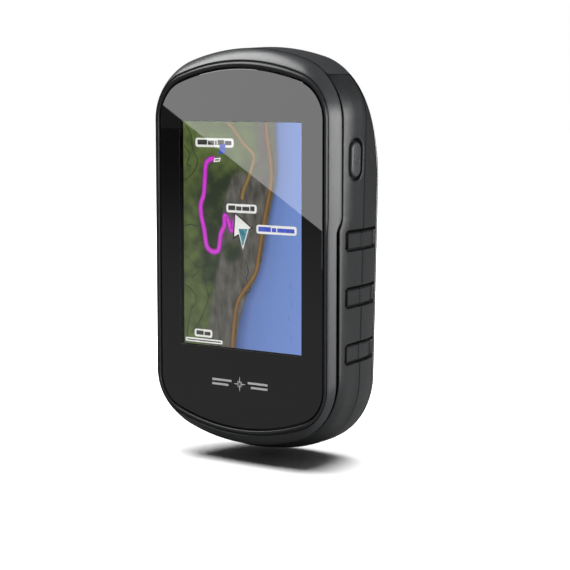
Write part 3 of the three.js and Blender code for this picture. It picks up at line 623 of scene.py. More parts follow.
# ---------------- finishes
class Recipe:
    """A node material being put together round one Principled shader."""

    def __init__(self, name: str, colour: Colour, roughness: float, metal: float = 0.0) -> None:
        """Starts a material with its plain values.

        Args:
            name: name of the material.
            colour: linear base colour.
            roughness: roughness of the surface.
            metal: 1 for bare metal.
        """
        self.material = bpy.data.materials.new(name)
        self.material.use_nodes = True
        self.tree = self.material.node_tree
        self.shader = self.tree.nodes["Principled BSDF"]
        self.set("Base Color", (*colour, 1))
        self.set("Roughness", roughness)
        self.set("Metallic", metal)
        self.here = self.node("ShaderNodeTexCoord").outputs["Object"]

    def set(self, socket: str, value: Any) -> None:
        """Sets one of the shader's own sockets."""
        self.shader.inputs[socket].default_value = value

    def node(self, kind: str, **settings: Any) -> bpy.types.Node:
        """Adds a node and sets its properties."""
        node = self.tree.nodes.new(kind)
        for key, value in settings.items():
            setattr(node, key, value)
        return node

    def link(self, source: Socket, target: Socket | str) -> None:
        """Joins a socket to another, or to one of the shader's by name."""
        self.tree.links.new(source, self.shader.inputs[target] if isinstance(target, str) else target)

    def stretched(self, x: float, y: float, z: float) -> Socket:
        """Object coordinates scaled by three shares."""
        node = self.node("ShaderNodeMapping")
        node.inputs["Scale"].default_value = (x, y, z)
        self.link(self.here, node.inputs["Vector"])
        return node.outputs["Vector"]

    def part(self, vector: Socket, axis: str) -> Socket:
        """One value of a vector, by its axis."""
        node = self.node("ShaderNodeSeparateXYZ")
        self.link(vector, node.inputs["Vector"])
        return node.outputs[axis]

    def across(self) -> Socket:
        """The share of the way across the piece's own UV map."""
        return self.part(self.node("ShaderNodeUVMap").outputs["UV"], "X")

    def kept(self, name: str) -> Socket:
        """An attribute that the piece's mesh keeps at its points."""
        return self.node("ShaderNodeAttribute", attribute_name=name).outputs["Fac"]

    def noise(self, size: float, detail: float = 3.0, place: Socket | None = None) -> Socket:
        """Noise whose lumps have a size in millimetres."""
        node = self.node("ShaderNodeTexNoise")
        node.inputs["Scale"].default_value = 1 / (size * MM)
        node.inputs["Detail"].default_value = detail
        self.link(place or self.here, node.inputs["Vector"])
        return node.outputs["Fac"]

    def cells(self, size: float) -> Socket:
        """Distance to the nearest of scattered points, for pebbled grain of a size in millimetres."""
        node = self.node("ShaderNodeTexVoronoi")
        node.inputs["Scale"].default_value = 1 / (size * MM)
        self.link(self.here, node.inputs["Vector"])
        return node.outputs["Distance"]

    def spread(self, value: Socket, source: Point, target: Point) -> Socket:
        """Maps a value from one range to another, held at the ends."""
        node = self.node("ShaderNodeMapRange")
        for socket, number in zip(("From Min", "From Max", "To Min", "To Max"), (*source, *target)):
            node.inputs[socket].default_value = number
        self.link(value, node.inputs["Value"])
        return node.outputs["Result"]

    def ramp(self, share: Socket, stops: Sequence[tuple[float, Colour]]) -> Socket:
        """A colour that runs through stops as share runs from 0 to 1."""
        node = self.node("ShaderNodeValToRGB")
        elements = node.color_ramp.elements
        while len(elements) < len(stops):
            elements.new(0.5)
        for element, (at, colour) in zip(elements, stops):
            element.position, element.color = at, (*colour, 1)
        self.link(share, node.inputs["Fac"])
        return node.outputs["Color"]

    def shaded(self, share: Socket, colour: Colour, dark: float, light: float) -> Socket:
        """A colour that runs from one of its shades to another."""
        return self.ramp(share, [(0.3, shade(colour, dark)), (0.7, shade(colour, light))])

    def maths(self, operation: str, first: Socket, second: Socket | float) -> Socket:
        """The result of a sum on two values."""
        node = self.node("ShaderNodeMath", operation=operation)
        self.link(first, node.inputs[0])
        if isinstance(second, float):
            node.inputs[1].default_value = second
        else:
            self.link(second, node.inputs[1])
        return node.outputs[0]

    def mixed(self, share: Socket | float, first: Socket, second: Socket, how: str = "MIX") -> Socket:
        """Two colours mixed by a share."""
        node = self.node("ShaderNodeMix", data_type="RGBA", blend_type=how)
        if isinstance(share, float):
            node.inputs[0].default_value = share
        else:
            self.link(share, node.inputs[0])
        self.link(first, node.inputs[6])
        self.link(second, node.inputs[7])
        return node.outputs[2]

    def relief(self, height: Socket, depth: float, strength: float = 1.0) -> None:
        """Raises and sinks the surface in light by a height map of a depth in millimetres."""
        node = self.node("ShaderNodeBump")
        node.inputs["Distance"].default_value = depth * MM
        node.inputs["Strength"].default_value = strength
        self.link(height, node.inputs["Height"])
        self.link(node.outputs["Normal"], "Normal")


@dataclass(frozen=True)
class MouldedFinish:
    """Moulded plastic or rubber: fine spark grain, faint mottle, convex edges painted lighter (part edge
    wear, part painted glint) and, on some pieces, painted shade.
    """

    name: str
    colour: Colour
    roughness: float
    grain: float = 0.28
    relief: float = 0.02
    mottle: float = 0.10
    wear_and_glint: float = 0.35
    specular: float = 0.5
    paints_shade: bool = False

    @lru_cache(maxsize=None)
    def material(self) -> Material:
        """The material, made once."""
        recipe = Recipe(self.name, self.colour, self.roughness)
        cloud = recipe.noise(9.0, 2.0)
        speck = recipe.noise(self.grain * 1.6, 2.0)
        both = recipe.maths("ADD", recipe.maths("MULTIPLY", cloud, 0.6), recipe.maths("MULTIPLY", speck, 0.4))
        body = recipe.shaded(both, self.colour, 1 - self.mottle, 1 + self.mottle)
        # Convex edges are painted lighter, partly as edge wear and partly as a painted glint on rounded
        # edges.
        edge = recipe.node("ShaderNodeNewGeometry").outputs["Pointiness"]
        wear_glint_mask = recipe.spread(edge, (0.53, 0.60), (0.0, self.wear_and_glint))
        rubbed_glint_colour = recipe.ramp(speck, [(0.2, shade(self.colour, 1.4)), (0.8, shade(self.colour, 2.0))])
        surface_colour = recipe.mixed(wear_glint_mask, body, rubbed_glint_colour)
        # Painted shade: where the mesh's attribute asks for it, the colour turns nearly black and the gloss
        # is taken away.
        if self.paints_shade:
            soil = recipe.kept("soil")
            surface_colour = recipe.mixed(soil, surface_colour, recipe.shaded(speck, self.colour, 0.1, 0.2))
            recipe.link(recipe.spread(soil, (0, 1), (self.specular, 0.02)), "Specular IOR Level")
        recipe.link(surface_colour, "Base Color")
        gloss = recipe.spread(speck, (0.3, 0.7), (self.roughness - 0.05, self.roughness + 0.06))
        recipe.link(gloss, "Roughness")
        recipe.set("Specular IOR Level", self.specular)
        if self.relief > 0:
            pebble = recipe.cells(self.grain)
            fine = recipe.noise(self.grain * 0.5, 2.0)
            recipe.relief(recipe.maths("ADD", pebble, recipe.maths("MULTIPLY", fine, 0.5)), self.relief)
        return recipe.material


@dataclass(frozen=True)
class MetalFinish:
    """Bare or plated metal: brushed one way, with faint stains in its gloss."""

    name: str
    colour: Colour
    roughness: float
    brush: tuple[float, float, float] = (0.15, 1.0, 1.0)
    relief: float = 0.004

    @lru_cache(maxsize=None)
    def material(self) -> Material:
        """The material, made once."""
        recipe = Recipe(self.name, self.colour, self.roughness, 1.0)
        lines = recipe.noise(0.12, 3.0, recipe.stretched(*self.brush))
        stain = recipe.noise(2.4, 3.0)
        recipe.link(recipe.shaded(stain, self.colour, 0.86, 1.05), "Base Color")
        both = recipe.maths("ADD", recipe.maths("MULTIPLY", lines, 0.5), recipe.maths("MULTIPLY", stain, 0.5))
        gloss = recipe.spread(both, (0.3, 0.7), (self.roughness * 0.7, self.roughness * 1.4))
        recipe.link(gloss, "Roughness")
        recipe.relief(lines, self.relief)
        return recipe.material


@dataclass(frozen=True)
class GlassFinish:
    """Clear coated cover glass, inked black round its window, with faint smears in its gloss.

    The window is given by its half width, half height and the height of its middle.
    """

    half: float
    tall: float
    middle: float
    name: str = "cover_glass"
    ink: Colour = tone(18, 18, 19)

    @lru_cache(maxsize=None)
    def material(self) -> Material:
        """The material, made once."""
        recipe = Recipe(self.name, self.ink, 0.01)
        lift = recipe.maths("SUBTRACT", recipe.part(recipe.here, "Z"), self.middle * MM)
        sides = ((recipe.part(recipe.here, "X"), self.half * MM), (lift, self.tall * MM))
        clear = [
            recipe.spread(recipe.maths("ABSOLUTE", value, 0.0), (end, end + 0.02 * MM), (1.0, 0.0))
            for value, end in sides
        ]
        window = recipe.maths("MULTIPLY", *clear)
        recipe.link(window, "Transmission Weight")
        recipe.link(recipe.ramp(window, [(0.0, self.ink), (1.0, (1, 1, 1))]), "Base Color")
        recipe.set("IOR", 1.4)
        recipe.set("Coat Weight", 1.0)
        recipe.set("Coat IOR", 1.45)
        recipe.set("Coat Roughness", 0.01)
        smear = recipe.noise(14.0, 4.0)
        recipe.link(recipe.spread(smear, (0.35, 0.75), (0.0, 0.03)), "Roughness")
        return recipe.material


@dataclass(frozen=True)
class LitFinish:
    """A lit area of the display: colours that shine, broken by the fine rows of its picture cells."""

    name: str
    dark: Colour
    light: Colour
    lump: float = 3.0
    strength: float = 1.0

    def picture(self, recipe: Recipe) -> Socket:
        """The colours of the picture: soft lumps between dark and light."""
        return recipe.ramp(recipe.noise(self.lump, 4.0), [(0.35, self.dark), (0.65, self.light)])

    @lru_cache(maxsize=None)
    def material(self) -> Material:
        """The material, made once."""
        recipe = Recipe(self.name, (0.01, 0.01, 0.01), 0.5)
        lit = self.picture(recipe)
        rows = recipe.node("ShaderNodeTexWave", bands_direction="Z")
        rows.inputs["Scale"].default_value = 1 / (0.24 * MM) / tau
        recipe.link(recipe.here, rows.inputs["Vector"])
        recipe.link(recipe.mixed(0.1, lit, rows.outputs["Color"], "MULTIPLY"), "Emission Color")
        recipe.set("Emission Strength", self.strength)
        return recipe.material


@dataclass(frozen=True)
class StripFinish(LitFinish):
    """A lit strip of the chart that has dark edges along its length, read across its own UV map."""

    edge: Colour = (0, 0, 0)
    soft: float = 0.3

    def picture(self, recipe: Recipe) -> Socket:
        """The colours: edge, middle, edge, with lumps in the middle's brightness."""
        bright, dull = (
            recipe.ramp(recipe.across(), [
                (0.02, self.edge), (self.soft, inner), (1 - self.soft, inner), (0.98, self.edge),
            ])
            for inner in (self.light, self.dark)
        )
        return recipe.mixed(recipe.noise(self.lump, 3.0), bright, dull)


@dataclass(frozen=True)
class WaterFinish(LitFinish):
    """The lit lake: darker at its shore, read across its own UV map, with faint depth strokes."""

    def picture(self, recipe: Recipe) -> Socket:
        """The colours from the shore outwards."""
        drift = recipe.maths("MULTIPLY", recipe.noise(self.lump, 2.0), 0.10)
        share = recipe.maths("SUBTRACT", recipe.maths("ADD", recipe.across(), drift), 0.05)
        middle = tuple(a * 0.25 + b * 0.75 for a, b in zip(self.dark, self.light))
        return recipe.ramp(
            share, [(0.0, self.dark), (0.16, middle), (0.5, self.light), (1.0, shade(self.light, 1.1))],
        )


@dataclass(frozen=True)
class GroundFinish(LitFinish):
    """The lit land: lumpy greens that turn to grey rock where the sheet's rock attribute says so."""

    rock_dark: Colour = (0, 0, 0)
    rock_light: Colour = (0, 0, 0)

    def picture(self, recipe: Recipe) -> Socket:
        """Greens and rock, each with its own lumps."""
        lumps = recipe.maths("SUBTRACT", recipe.noise(self.lump, 5.0), 0.5)
        middle = tuple((a + b) / 2 for a, b in zip(self.dark, self.light))
        green = recipe.ramp(
            recipe.maths("ADD", recipe.kept("sunny"), lumps),
            [(0.05, self.dark), (0.55, middle), (0.95, self.light)],
        )
        streaks = recipe.noise(1.6, 4.0, recipe.stretched(1.0, 1.0, 0.35))
        rock = recipe.ramp(streaks, [(0.3, self.rock_dark), (0.7, self.rock_light)])
        return recipe.mixed(recipe.kept("rock"), green, rock)


@dataclass(frozen=True)
class BoardFinish:
    """Solder-masked circuit board: a weave under the mask, with copper tracks showing as lines."""

    name: str = "board_mask"
    colour: Colour = tone(24, 84, 52)

    @lru_cache(maxsize=None)
    def material(self) -> Material:
        """The material, made once."""
        recipe = Recipe(self.name, self.colour, 0.35)
        tracks = recipe.node("ShaderNodeTexBrick")
        tracks.inputs["Scale"].default_value = 1 / (2.2 * MM)
        tracks.inputs["Mortar Size"].default_value = 0.06
        turned = recipe.node("ShaderNodeMapping")
        turned.inputs["Rotation"].default_value = (pi / 2, 0, 0)
        recipe.link(recipe.here, turned.inputs["Vector"])
        recipe.link(turned.outputs["Vector"], tracks.inputs["Vector"])
        copper = recipe.ramp(tracks.outputs["Fac"], [(0.0, self.colour), (1.0, shade(self.colour, 1.8))])
        recipe.link(copper, "Base Color")
        recipe.relief(tracks.outputs["Fac"], 0.03)
        return recipe.material


@dataclass(frozen=True)
class SleeveFinish:
    """Printed battery sleeve: coloured film with a band at one end and small crinkles."""

    name: str
    colour: Colour
    band: Colour
    split: float

    @lru_cache(maxsize=None)
    def material(self) -> Material:
        """The material, made once."""
        recipe = Recipe(self.name, self.colour, 0.3)
        ends = (self.split * MM, (self.split + 0.15) * MM)
        band = recipe.spread(recipe.part(recipe.here, "Z"), ends, (0.0, 1.0))
        smudge = recipe.noise(3.0, 3.0)
        film, other = (recipe.shaded(smudge, colour, 0.85, 1.1) for colour in (self.colour, self.band))
        recipe.link(recipe.mixed(band, film, other), "Base Color")
        recipe.link(recipe.spread(smudge, (0.3, 0.7), (0.22, 0.4)), "Roughness")
        recipe.set("Metallic", 0.35)
        recipe.relief(recipe.noise(0.8, 2.0), 0.01)
        return recipe.material


# The bezel and the grip darken in colour where their meshes ask for painted shade; the high edge values of
# the bezel, grip and key mostly paint a glint on their rounded edges.
BEZEL = MouldedFinish("bezel_satin", tone(52, 53, 55), 0.34, grain=0.2, relief=0.006, wear_and_glint=0.4, paints_shade=True)
CASE = MouldedFinish("case_moulded", tone(46, 47, 49), 0.45, grain=0.34, relief=0.02)
GRIP = MouldedFinish("grip_soft", tone(34, 35, 36), 0.38, grain=0.3, relief=0.015, wear_and_glint=0.9, paints_shade=True)
KEY = MouldedFinish("key_soft", tone(54, 55, 57), 0.4, grain=0.22, relief=0.012, wear_and_glint=0.9)
CAP = MouldedFinish("cap_rubber", tone(44, 45, 47), 0.62, grain=0.3, relief=0.02)
SEAL = MouldedFinish("seal_soft", tone(48, 49, 51), 0.7, grain=0.5, relief=0.01)
CHIP = MouldedFinish("chip_epoxy", tone(30, 30, 31), 0.5, grain=0.15, relief=0.006)
CARD = MouldedFinish("card_shell", tone(34, 35, 38), 0.4, grain=0.2, relief=0.005)
CERAMIC = MouldedFinish("antenna_ceramic", tone(206, 194, 168), 0.55, grain=0.3, relief=0.008, wear_and_glint=0.1)
CONNECTOR = MouldedFinish("connector_nylon", tone(226, 221, 206), 0.45, grain=0.3, relief=0.005, wear_and_glint=0.1)
GUIDE = MouldedFinish("light_guide", tone(226, 231, 234), 0.35, grain=0.6, relief=0.004, wear_and_glint=0.1)
RIBBON = MouldedFinish("ribbon_film", tone(176, 104, 44), 0.35, grain=0.8, relief=0.006, wear_and_glint=0.1)
INK = MouldedFinish("mask_ink", tone(9, 9, 10), 0.8, grain=0.4, relief=0.0, wear_and_glint=0.0, specular=0.0)
TAPE = MouldedFinish("foam_tape", tone(16, 16, 18), 0.85, grain=0.2, relief=0.02, wear_and_glint=0.0)
MARK = MouldedFinish("printed_mark", tone(206, 206, 208), 0.45, grain=0.2, relief=0.003, wear_and_glint=0.0)
STEEL = MetalFinish("stainless_steel", tone(190, 192, 195), 0.24)
TIN = MetalFinish("tinned_sheet", tone(200, 202, 204), 0.3, brush=(1.0, 1.0, 0.15))
NICKEL = MetalFinish("nickel_plate", tone(206, 202, 190), 0.22)
SCREW = MetalFinish("screw_zinc", tone(168, 170, 173), 0.28)
CHART_WHITE = LitFinish("chart_white", tone(236, 238, 232), tone(250, 250, 248), lump=2.0)


def dress(piece: Piece, *finishes: Any) -> Piece:
    """Gives a piece its finishes, in the order of its material slots."""
    piece.data.materials.clear()
    for finish in finishes:
        piece.data.materials.append(finish.material())
    return piece


def mount(piece: Piece, body: str, slot: str, *nodes: str) -> Piece:
    """Fixes a finished piece to its body and hides the nodes that it stands for.

    Args:
        piece: the finished piece.
        body: body that carries it.
        slot: material slot of its finish; not used.
        nodes: nodes that it replaces.

    Returns:
        The piece.
    """
    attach(piece, body)
    if nodes:
        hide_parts(*nodes)
    LOG.info("%s: %d faces on %s", piece.name, len(piece.data.polygons), body)
    return piece


# ---------------- front shell
@dataclass(frozen=True)
class SeamLine:
    """The line on which the bezel gives way to the grip: it jogs forward below the key."""

    upper_depth: float = 3.9
    lower_depth: float = 2.35
    jog_low: float = 56.9
    jog_high: float = 60.8
    gap: float = 1.05

    def depth(self, z: float) -> float:
        """Depth of the bezel's rear edge at a height."""
        share = (z - self.jog_low) / (self.jog_high - self.jog_low)
        return self.lower_depth + (self.upper_depth - self.lower_depth) * smooth(share)


SEAM_LINE = SeamLine()


@dataclass(frozen=True)
class Bezel:
    """The front shell: a rim round the glass, a fine groove and a rounded band down to the seam."""

    pocket_gap: float = 0.45
    ledge_width: float = 1.5
    ledge_front: float = 1.5
    ledge_back: float = 2.9
    lip_round: float = 0.15
    tuck: float = 0.9
    groove_depth: float = 0.34
    lap: float = 1.5
    wall: float = 3.3
    flatness: float = 1.3

    def build(self) -> Piece:
        """The shell as one closed skin."""
        shares = sorted({i / 24 for i in range(1, 24)} | {0.555 + 0.008 * i for i in range(14)})
        glass = FORM.glass
        rings = {
            skin: (FORM.rim.inset(skin).ring(shares), FORM.seam.inset(skin).ring(shares))
            for skin in (0.0, self.tuck, self.lap, self.wall)
        }
        crest = -FORM.rim_proud
        flats = [
            (self.ledge_width, self.ledge_back), (self.ledge_width, self.ledge_front),
            (-self.pocket_gap, self.ledge_front), (-self.pocket_gap, 0.0),
            (-self.pocket_gap - 0.03, crest + 0.14), (-self.pocket_gap - 0.1, crest + 0.04),
            (-self.pocket_gap - 0.22, crest), (-1.0, crest),
        ]
        flat_rings = [(glass.inset(skin).ring(shares), depth) for skin, depth in flats]
        groove = [(0.02, 0.0), (0.06, 0.5), (0.10, 1.0), (0.17, 1.0), (0.21, 0.5), (0.24, 0.0), (0.28, 0.0)]
        turns = [(0.33 + (1 - 0.33) * i / 16, 0.0) for i in range(17)]
        band = [(share, 0.0, sink * self.groove_depth) for share, sink in [*groove, *turns]]
        lip = [(1.0, self.tuck, self.lip_round), (1.0, self.lap, self.lip_round)]
        tail = [(self.lap, self.ledge_back + 1), (self.wall, self.ledge_back + 1)]
        rows: list[Callable[[int], Vector]] = []

        def on_ring(ring: Line, depth: float) -> Callable[[int], Vector]:
            return lambda column: spot(ring[column][0], depth, ring[column][1])

        def on_band(share: float, skin: float, sink: float) -> Callable[[int], Vector]:
            rim, seam = rings[skin]
            reach = FORM.seam_depth + FORM.rim_proud

            def place(column: int) -> Vector:
                stop = (SEAM_LINE.depth(seam[column][1]) + FORM.rim_proud) / reach
                turn = share * acos((1 - stop) ** (1 / self.flatness))
                out = sin(turn) ** self.flatness
                fold = self.tuck * max((share - 0.86) / 0.14, 0) ** 2 if skin == 0 else 0.0
                x, z = (a + (b - a) * (out - fold / 2.15) for a, b in zip(rim[column], seam[column]))
                return spot(x, reach * (1 - cos(turn) ** self.flatness) - FORM.rim_proud + sink, z)

            return place

        rows += [on_ring(*flat) for flat in flat_rings]
        rows += [on_band(*station) for station in [*band, *lip]]
        rows += [on_ring(rings[skin][1], depth) for skin, depth in tail]
        rows.append(rows[0])
        columns = len(flat_rings[0][0])
        piece = draw_skin("bezel_shell", columns, len(rows), lambda column, row: rows[row](column))
        # Painted shade: the crest round the glass pocket and the fine groove beside it are marked at 0.4, so
        # their finish paints them darker and less glossy.
        soil = piece.data.attributes.new("soil", "FLOAT", "POINT")
        for loop, place in zip(piece.data.loops, piece.data.uv_layers.active.data):
            row = round(place.uv.y * (len(rows) - 1))
            soil.data[loop.vertex_index].value = 0.4 if 2 < row < len(flats) + len(groove) - 1 else 0.0
        return soften(close_skin(piece), 50)

    def make(self) -> None:
        """Builds, dresses and mounts the shell."""
        mount(dress(self.build(), BEZEL), "case", "bezel_plastic", "front_bezel")


def plate(name: str, outline: Outline, edges: Line) -> Piece:
    """A flat plate whose edge passes through stations of (skin taken off, depth)."""
    shares = [i / 20 for i in range(1, 20)]
    rings = [(outline.inset(skin).ring(shares, 30, 30), depth) for skin, depth in edges]
    columns = len(rings[0][0])
    piece = draw_skin(name, columns, len(rings), lambda column, row: spot(
        rings[row][0][column][0], rings[row][1], rings[row][0][column][1],
    ))
    return close_skin(piece)


@dataclass(frozen=True)
class CoverGlass:
    """The touch lens, the black mask printed behind it and the maker's mark on it."""

    thickness: float = 1.1
    edge_round: float = 0.25
    mask: Point = (1.115, 1.175)
    window_corner: float = 0.5
    mark_width: float = 17.6
    mark_z: float = 17.8

    def build_lens(self) -> Piece:
        """The clear plate with a polished edge."""
        r, back = self.edge_round, self.thickness
        edges = [(0.1, back), (0.0, back - 0.1), (0.0, r)]
        edges += [(r * (1 - cos(a)), r * (1 - sin(a))) for a in between(0.25, pi / 2, 5)]
        edges.append((r, 0.0))
        return soften(plate("glass_cover", FORM.glass, edges), 4)

    def build_mask(self, screen: "ChartScreen") -> Piece:
        """The printed frame round the window."""
        front, back = self.mask
        piece = plate("glass_mask", FORM.glass, [(0.25, back), (0.25, front)])
        half, middle, tall = screen.width / 2 + 0.15, screen.middle, screen.height / 2 + 0.15
        window = block("window", half, (front - 1, back + 1), (middle - tall, middle + tall))
        round_uprights(window, self.window_corner, 5)
        return combine(piece, Cut.AWAY, window)

    def build_mark(self) -> Piece:
        """A small compass star between two pairs of bars."""
        front = -0.03
        parts = []
        for turn, length in ((0, 1.9), (pi / 4, 1.05)):
            points = []
            for i in range(8):
                radius = length if i % 2 == 0 else 0.34
                angle = turn + i * pi / 4
                points.append((radius * sin(angle), self.mark_z + radius * cos(angle)))
            parts.append(flat_shape("star", points, front))
        reach = self.mark_width / 2
        for side in (-1, 1):
            for lift, inner in ((0.55, 2.6), (-0.55, 3.6)):
                height = self.mark_z + lift
                heights = (height - 0.27, height + 0.27)
                parts.append(flat_bar("bar", on_side(side, inner, reach), heights, front))
        return thicken(merge_pieces("maker_mark", *parts), 0.03)

    def make(self, screen: "ChartScreen") -> None:
        """Builds, dresses and mounts the glass, its mask and the mark."""
        glass = GlassFinish(screen.width / 2 + 0.3, screen.height / 2 + 0.15, screen.middle)
        mount(dress(self.build_lens(), glass), "case", "lens_glass", "touch_lens")
        mount(dress(self.build_mask(screen), INK), "case", "lens_glass")
        mount(dress(self.build_mark(), MARK), "case", "lens_glass")


# ---------------- display
def flat_shape(name: str, points: Line, depth: float) -> Piece:
    """A flat polygon facing the front."""
    clear_selection()
    bpy.ops.mesh.primitive_circle_add(vertices=len(points), radius=MM, fill_type="NGON")
    piece = bpy.context.object
    piece.name = piece.data.name = name
    for vertex, (x, z) in zip(piece.data.vertices, points):
        vertex.co = spot(x, depth, z)
    piece.data.update()
    return face_front(piece)


def flat_bar(name: str, x: Point, z: Point, depth: float, corner: float = 0.0) -> Piece:
    """A flat rectangle facing the front, with round corners if a radius is given."""
    if corner == 0:
        return flat_shape(name, [(x[0], z[0]), (x[1], z[0]), (x[1], z[1]), (x[0], z[1])], depth)
    return flat_shape(name, corner_points(x, z, corner, 6), depth)


def thicken(piece: Piece, thickness: float) -> Piece:
    """Gives flat sheets a thickness in millimetres behind their face."""
    return finish_with(piece, "SOLIDIFY", thickness=thickness * MM, offset=-1)


class Label(Enum):
    """The two kinds of name plate on the chart."""

    PLACE = "place"
    WATER = "water"


@dataclass(frozen=True)
class ChartScreen:
    """The display: its panel, and a lit chart drawn in thin layers. No lettering is shown."""

    width: float = 37.8
    height: float = 56.7
    border: float = 1.3
    foot: float = 2.8
    front: float = 1.6
    thickness: float = 1.4
    layer: float = 0.022
    middle: float = 102.0 - 18.65 - 56.7 / 2

    def place(self, points: Line, layer: int) -> tuple[list[Point], float]:
        """Points counted from the chart's middle as part places, and the depth of a layer."""
        return [(x, z + self.middle) for x, z in points], self.front - self.layer * layer

    def panel(self) -> Piece:
        """The glass panel behind the chart."""
        half = self.width / 2 + self.border
        low = self.middle - self.height / 2 - self.border - self.foot
        high = self.middle + self.height / 2 + self.border
        piece = block("panel", half, (self.front, self.front + self.thickness), (low, high))
        return dress(round_edges(piece, 0.12, 2), INK)

    def ground(self) -> Piece:
        """The land sheet, with shares of rock and of sun kept for its finish."""
        columns, rows = 64, 96
        half, tall = self.width / 2, self.height / 2
        depth = self.front - self.layer

        def place(column: int, row: int) -> Vector:
            x = -half + self.width * column / (columns - 1)
            z = -tall + self.height * row / (rows - 1)
            return spot(x, depth, z + self.middle)

        sheet = face_front(draw_skin("ground", columns, rows, place))
        rock = sheet.data.attributes.new("rock", "FLOAT", "POINT")
        sunny = sheet.data.attributes.new("sunny", "FLOAT", "POINT")
        for vertex in sheet.data.vertices:
            x, z = vertex.co.x / MM, vertex.co.z / MM - self.middle
            rock.data[vertex.index].value = self.rock_share(x, z)
            sunny.data[vertex.index].value = self.sun_share(x, z)
        green = GroundFinish(
            "chart_land", tone(34, 48, 26), tone(124, 144, 74), lump=3.0,
            rock_dark=tone(54, 54, 48), rock_light=tone(108, 105, 98),
        )
        return dress(sheet, green)

    @staticmethod
    def rock_share(x: float, z: float) -> float:
        """How bare the ground is: a scree slope that widens downwards, and the strip by the road."""
        scree = [(-28.5, -12.6), (-14, -9.6), (-1.3, -7.2), (9, -6.2), (14, -4.2), (17, -1)]
        slope_edge = value_along(scree, z)
        slope = smooth((x - slope_edge) / 1.3) * smooth((16.8 - z) / 2.0)
        strip = smooth((x - 4.2 + (z - 16) * 0.12) / 2.2) * smooth((z - 12) / 3) * 0.75
        wood = smooth(1.6 - hypot((x + 3.2) / 2.6, (z + 4.2) / 2.4))
        return max(slope, strip) * (1 - wood)

    @staticmethod
    def sun_share(x: float, z: float) -> float:
        """How bright the green is: light at the left and the lower end, dark woods in the middle."""
        left = smooth((-11.0 - x) / 5)
        lower = smooth((-9 - z) / 8)
        upper = smooth((z - 13) / 7)
        return 0.06 + 0.30 * left * smooth((2 - abs(z - 2) * 0.1)) + 0.34 * lower + 0.42 * upper

    def lake(self) -> Piece:
        """The water right of its shore line."""
        shore = curve_through([
            (-2.0, -28.35), (-1.0, -22.2), (1.1, -15.8), (4.0, -11.0), (6.0, -6.4), (7.4, 0.0), (8.7, 5.5),
            (10.2, 12.0), (10.9, 17.5), (10.7, 22.0), (10.4, 28.35),
        ], 5)
        steps = 14
        half = self.width / 2

        def place(column: int, row: int) -> Vector:
            x, z = shore[row]
            return spot(x + (half - x) * column / (steps - 1), self.front - 2 * self.layer, z + self.middle)

        water = WaterFinish("chart_water", tone(66, 88, 142), tone(110, 140, 206), lump=9.0)
        return dress(face_front(draw_skin("lake", steps, len(shore), place)), water)

    def line(self, points: Line, width: float, layer: int, finish: LitFinish, steps: int = 6) -> Piece:
        """A strip of even width along a smooth line.

        Args:
            points: the places it passes, from the chart's middle.
            width: its width.
            layer: the layer it lies on.
            finish: its lit finish.
            steps: stations between two places.

        Returns:
            The flat strip.
        """
        places, depth = self.place(curve_through(points, steps), layer)
        half, tall = self.width / 2, self.height / 2

        def station(column: int, row: int) -> Vector:
            x, z = beside(places, row, (column - 1) * width / 2)
            z = min(max(z, self.middle - tall), self.middle + tall)
            return spot(min(max(x, -half), half), depth, z)

        return dress(face_front(draw_skin("line", 3, len(places), station)), finish)

    def shape(self, points: Line, layer: int, finish: LitFinish) -> Piece:
        """A flat lit polygon, its points counted from the chart's middle."""
        places, depth = self.place(points, layer)
        return dress(flat_shape("shape", places, depth), finish)

    def label(self, x: Point, z: float, tall: float, kind: Label, words: Sequence[float]) -> list[Piece]:
        """A name plate whose words are plain bars.

        Args:
            x: its left and right ends.
            z: height of its middle.
            tall: its height.
            kind: what it names.
            words: shares of the plate's width that the bars take, in order.

        Returns:
            The plate and its bars.
        """
        inks = {
            Label.PLACE: LitFinish("chart_ink", tone(40, 40, 40), tone(70, 68, 64), lump=0.5),
            Label.WATER: LitFinish("chart_blue_ink", tone(52, 70, 190), tone(84, 104, 214), lump=0.5),
        }
        high = z + self.middle
        depth = self.front - 7 * self.layer
        plate_piece = flat_bar("plate", x, (high - tall / 2, high + tall / 2), depth, tall * 0.3)
        parts = [dress(plate_piece, CHART_WHITE)]
        margin = tall * 0.3
        room = x[1] - x[0] - 2 * margin
        gap = 0.28
        free = room - gap * (len(words) - 1)
        start = x[0] + margin
        for i, share in enumerate(words):
            length = free * share / sum(words)
            rise = 0.30 if i % 3 == 0 else 0.22
            body = (high - tall * 0.24, high + tall * rise)
            bar = flat_bar("word", (start, start + length), body, depth - self.layer)
            parts.append(dress(bar, inks[kind]))
            start += length + gap
        return parts

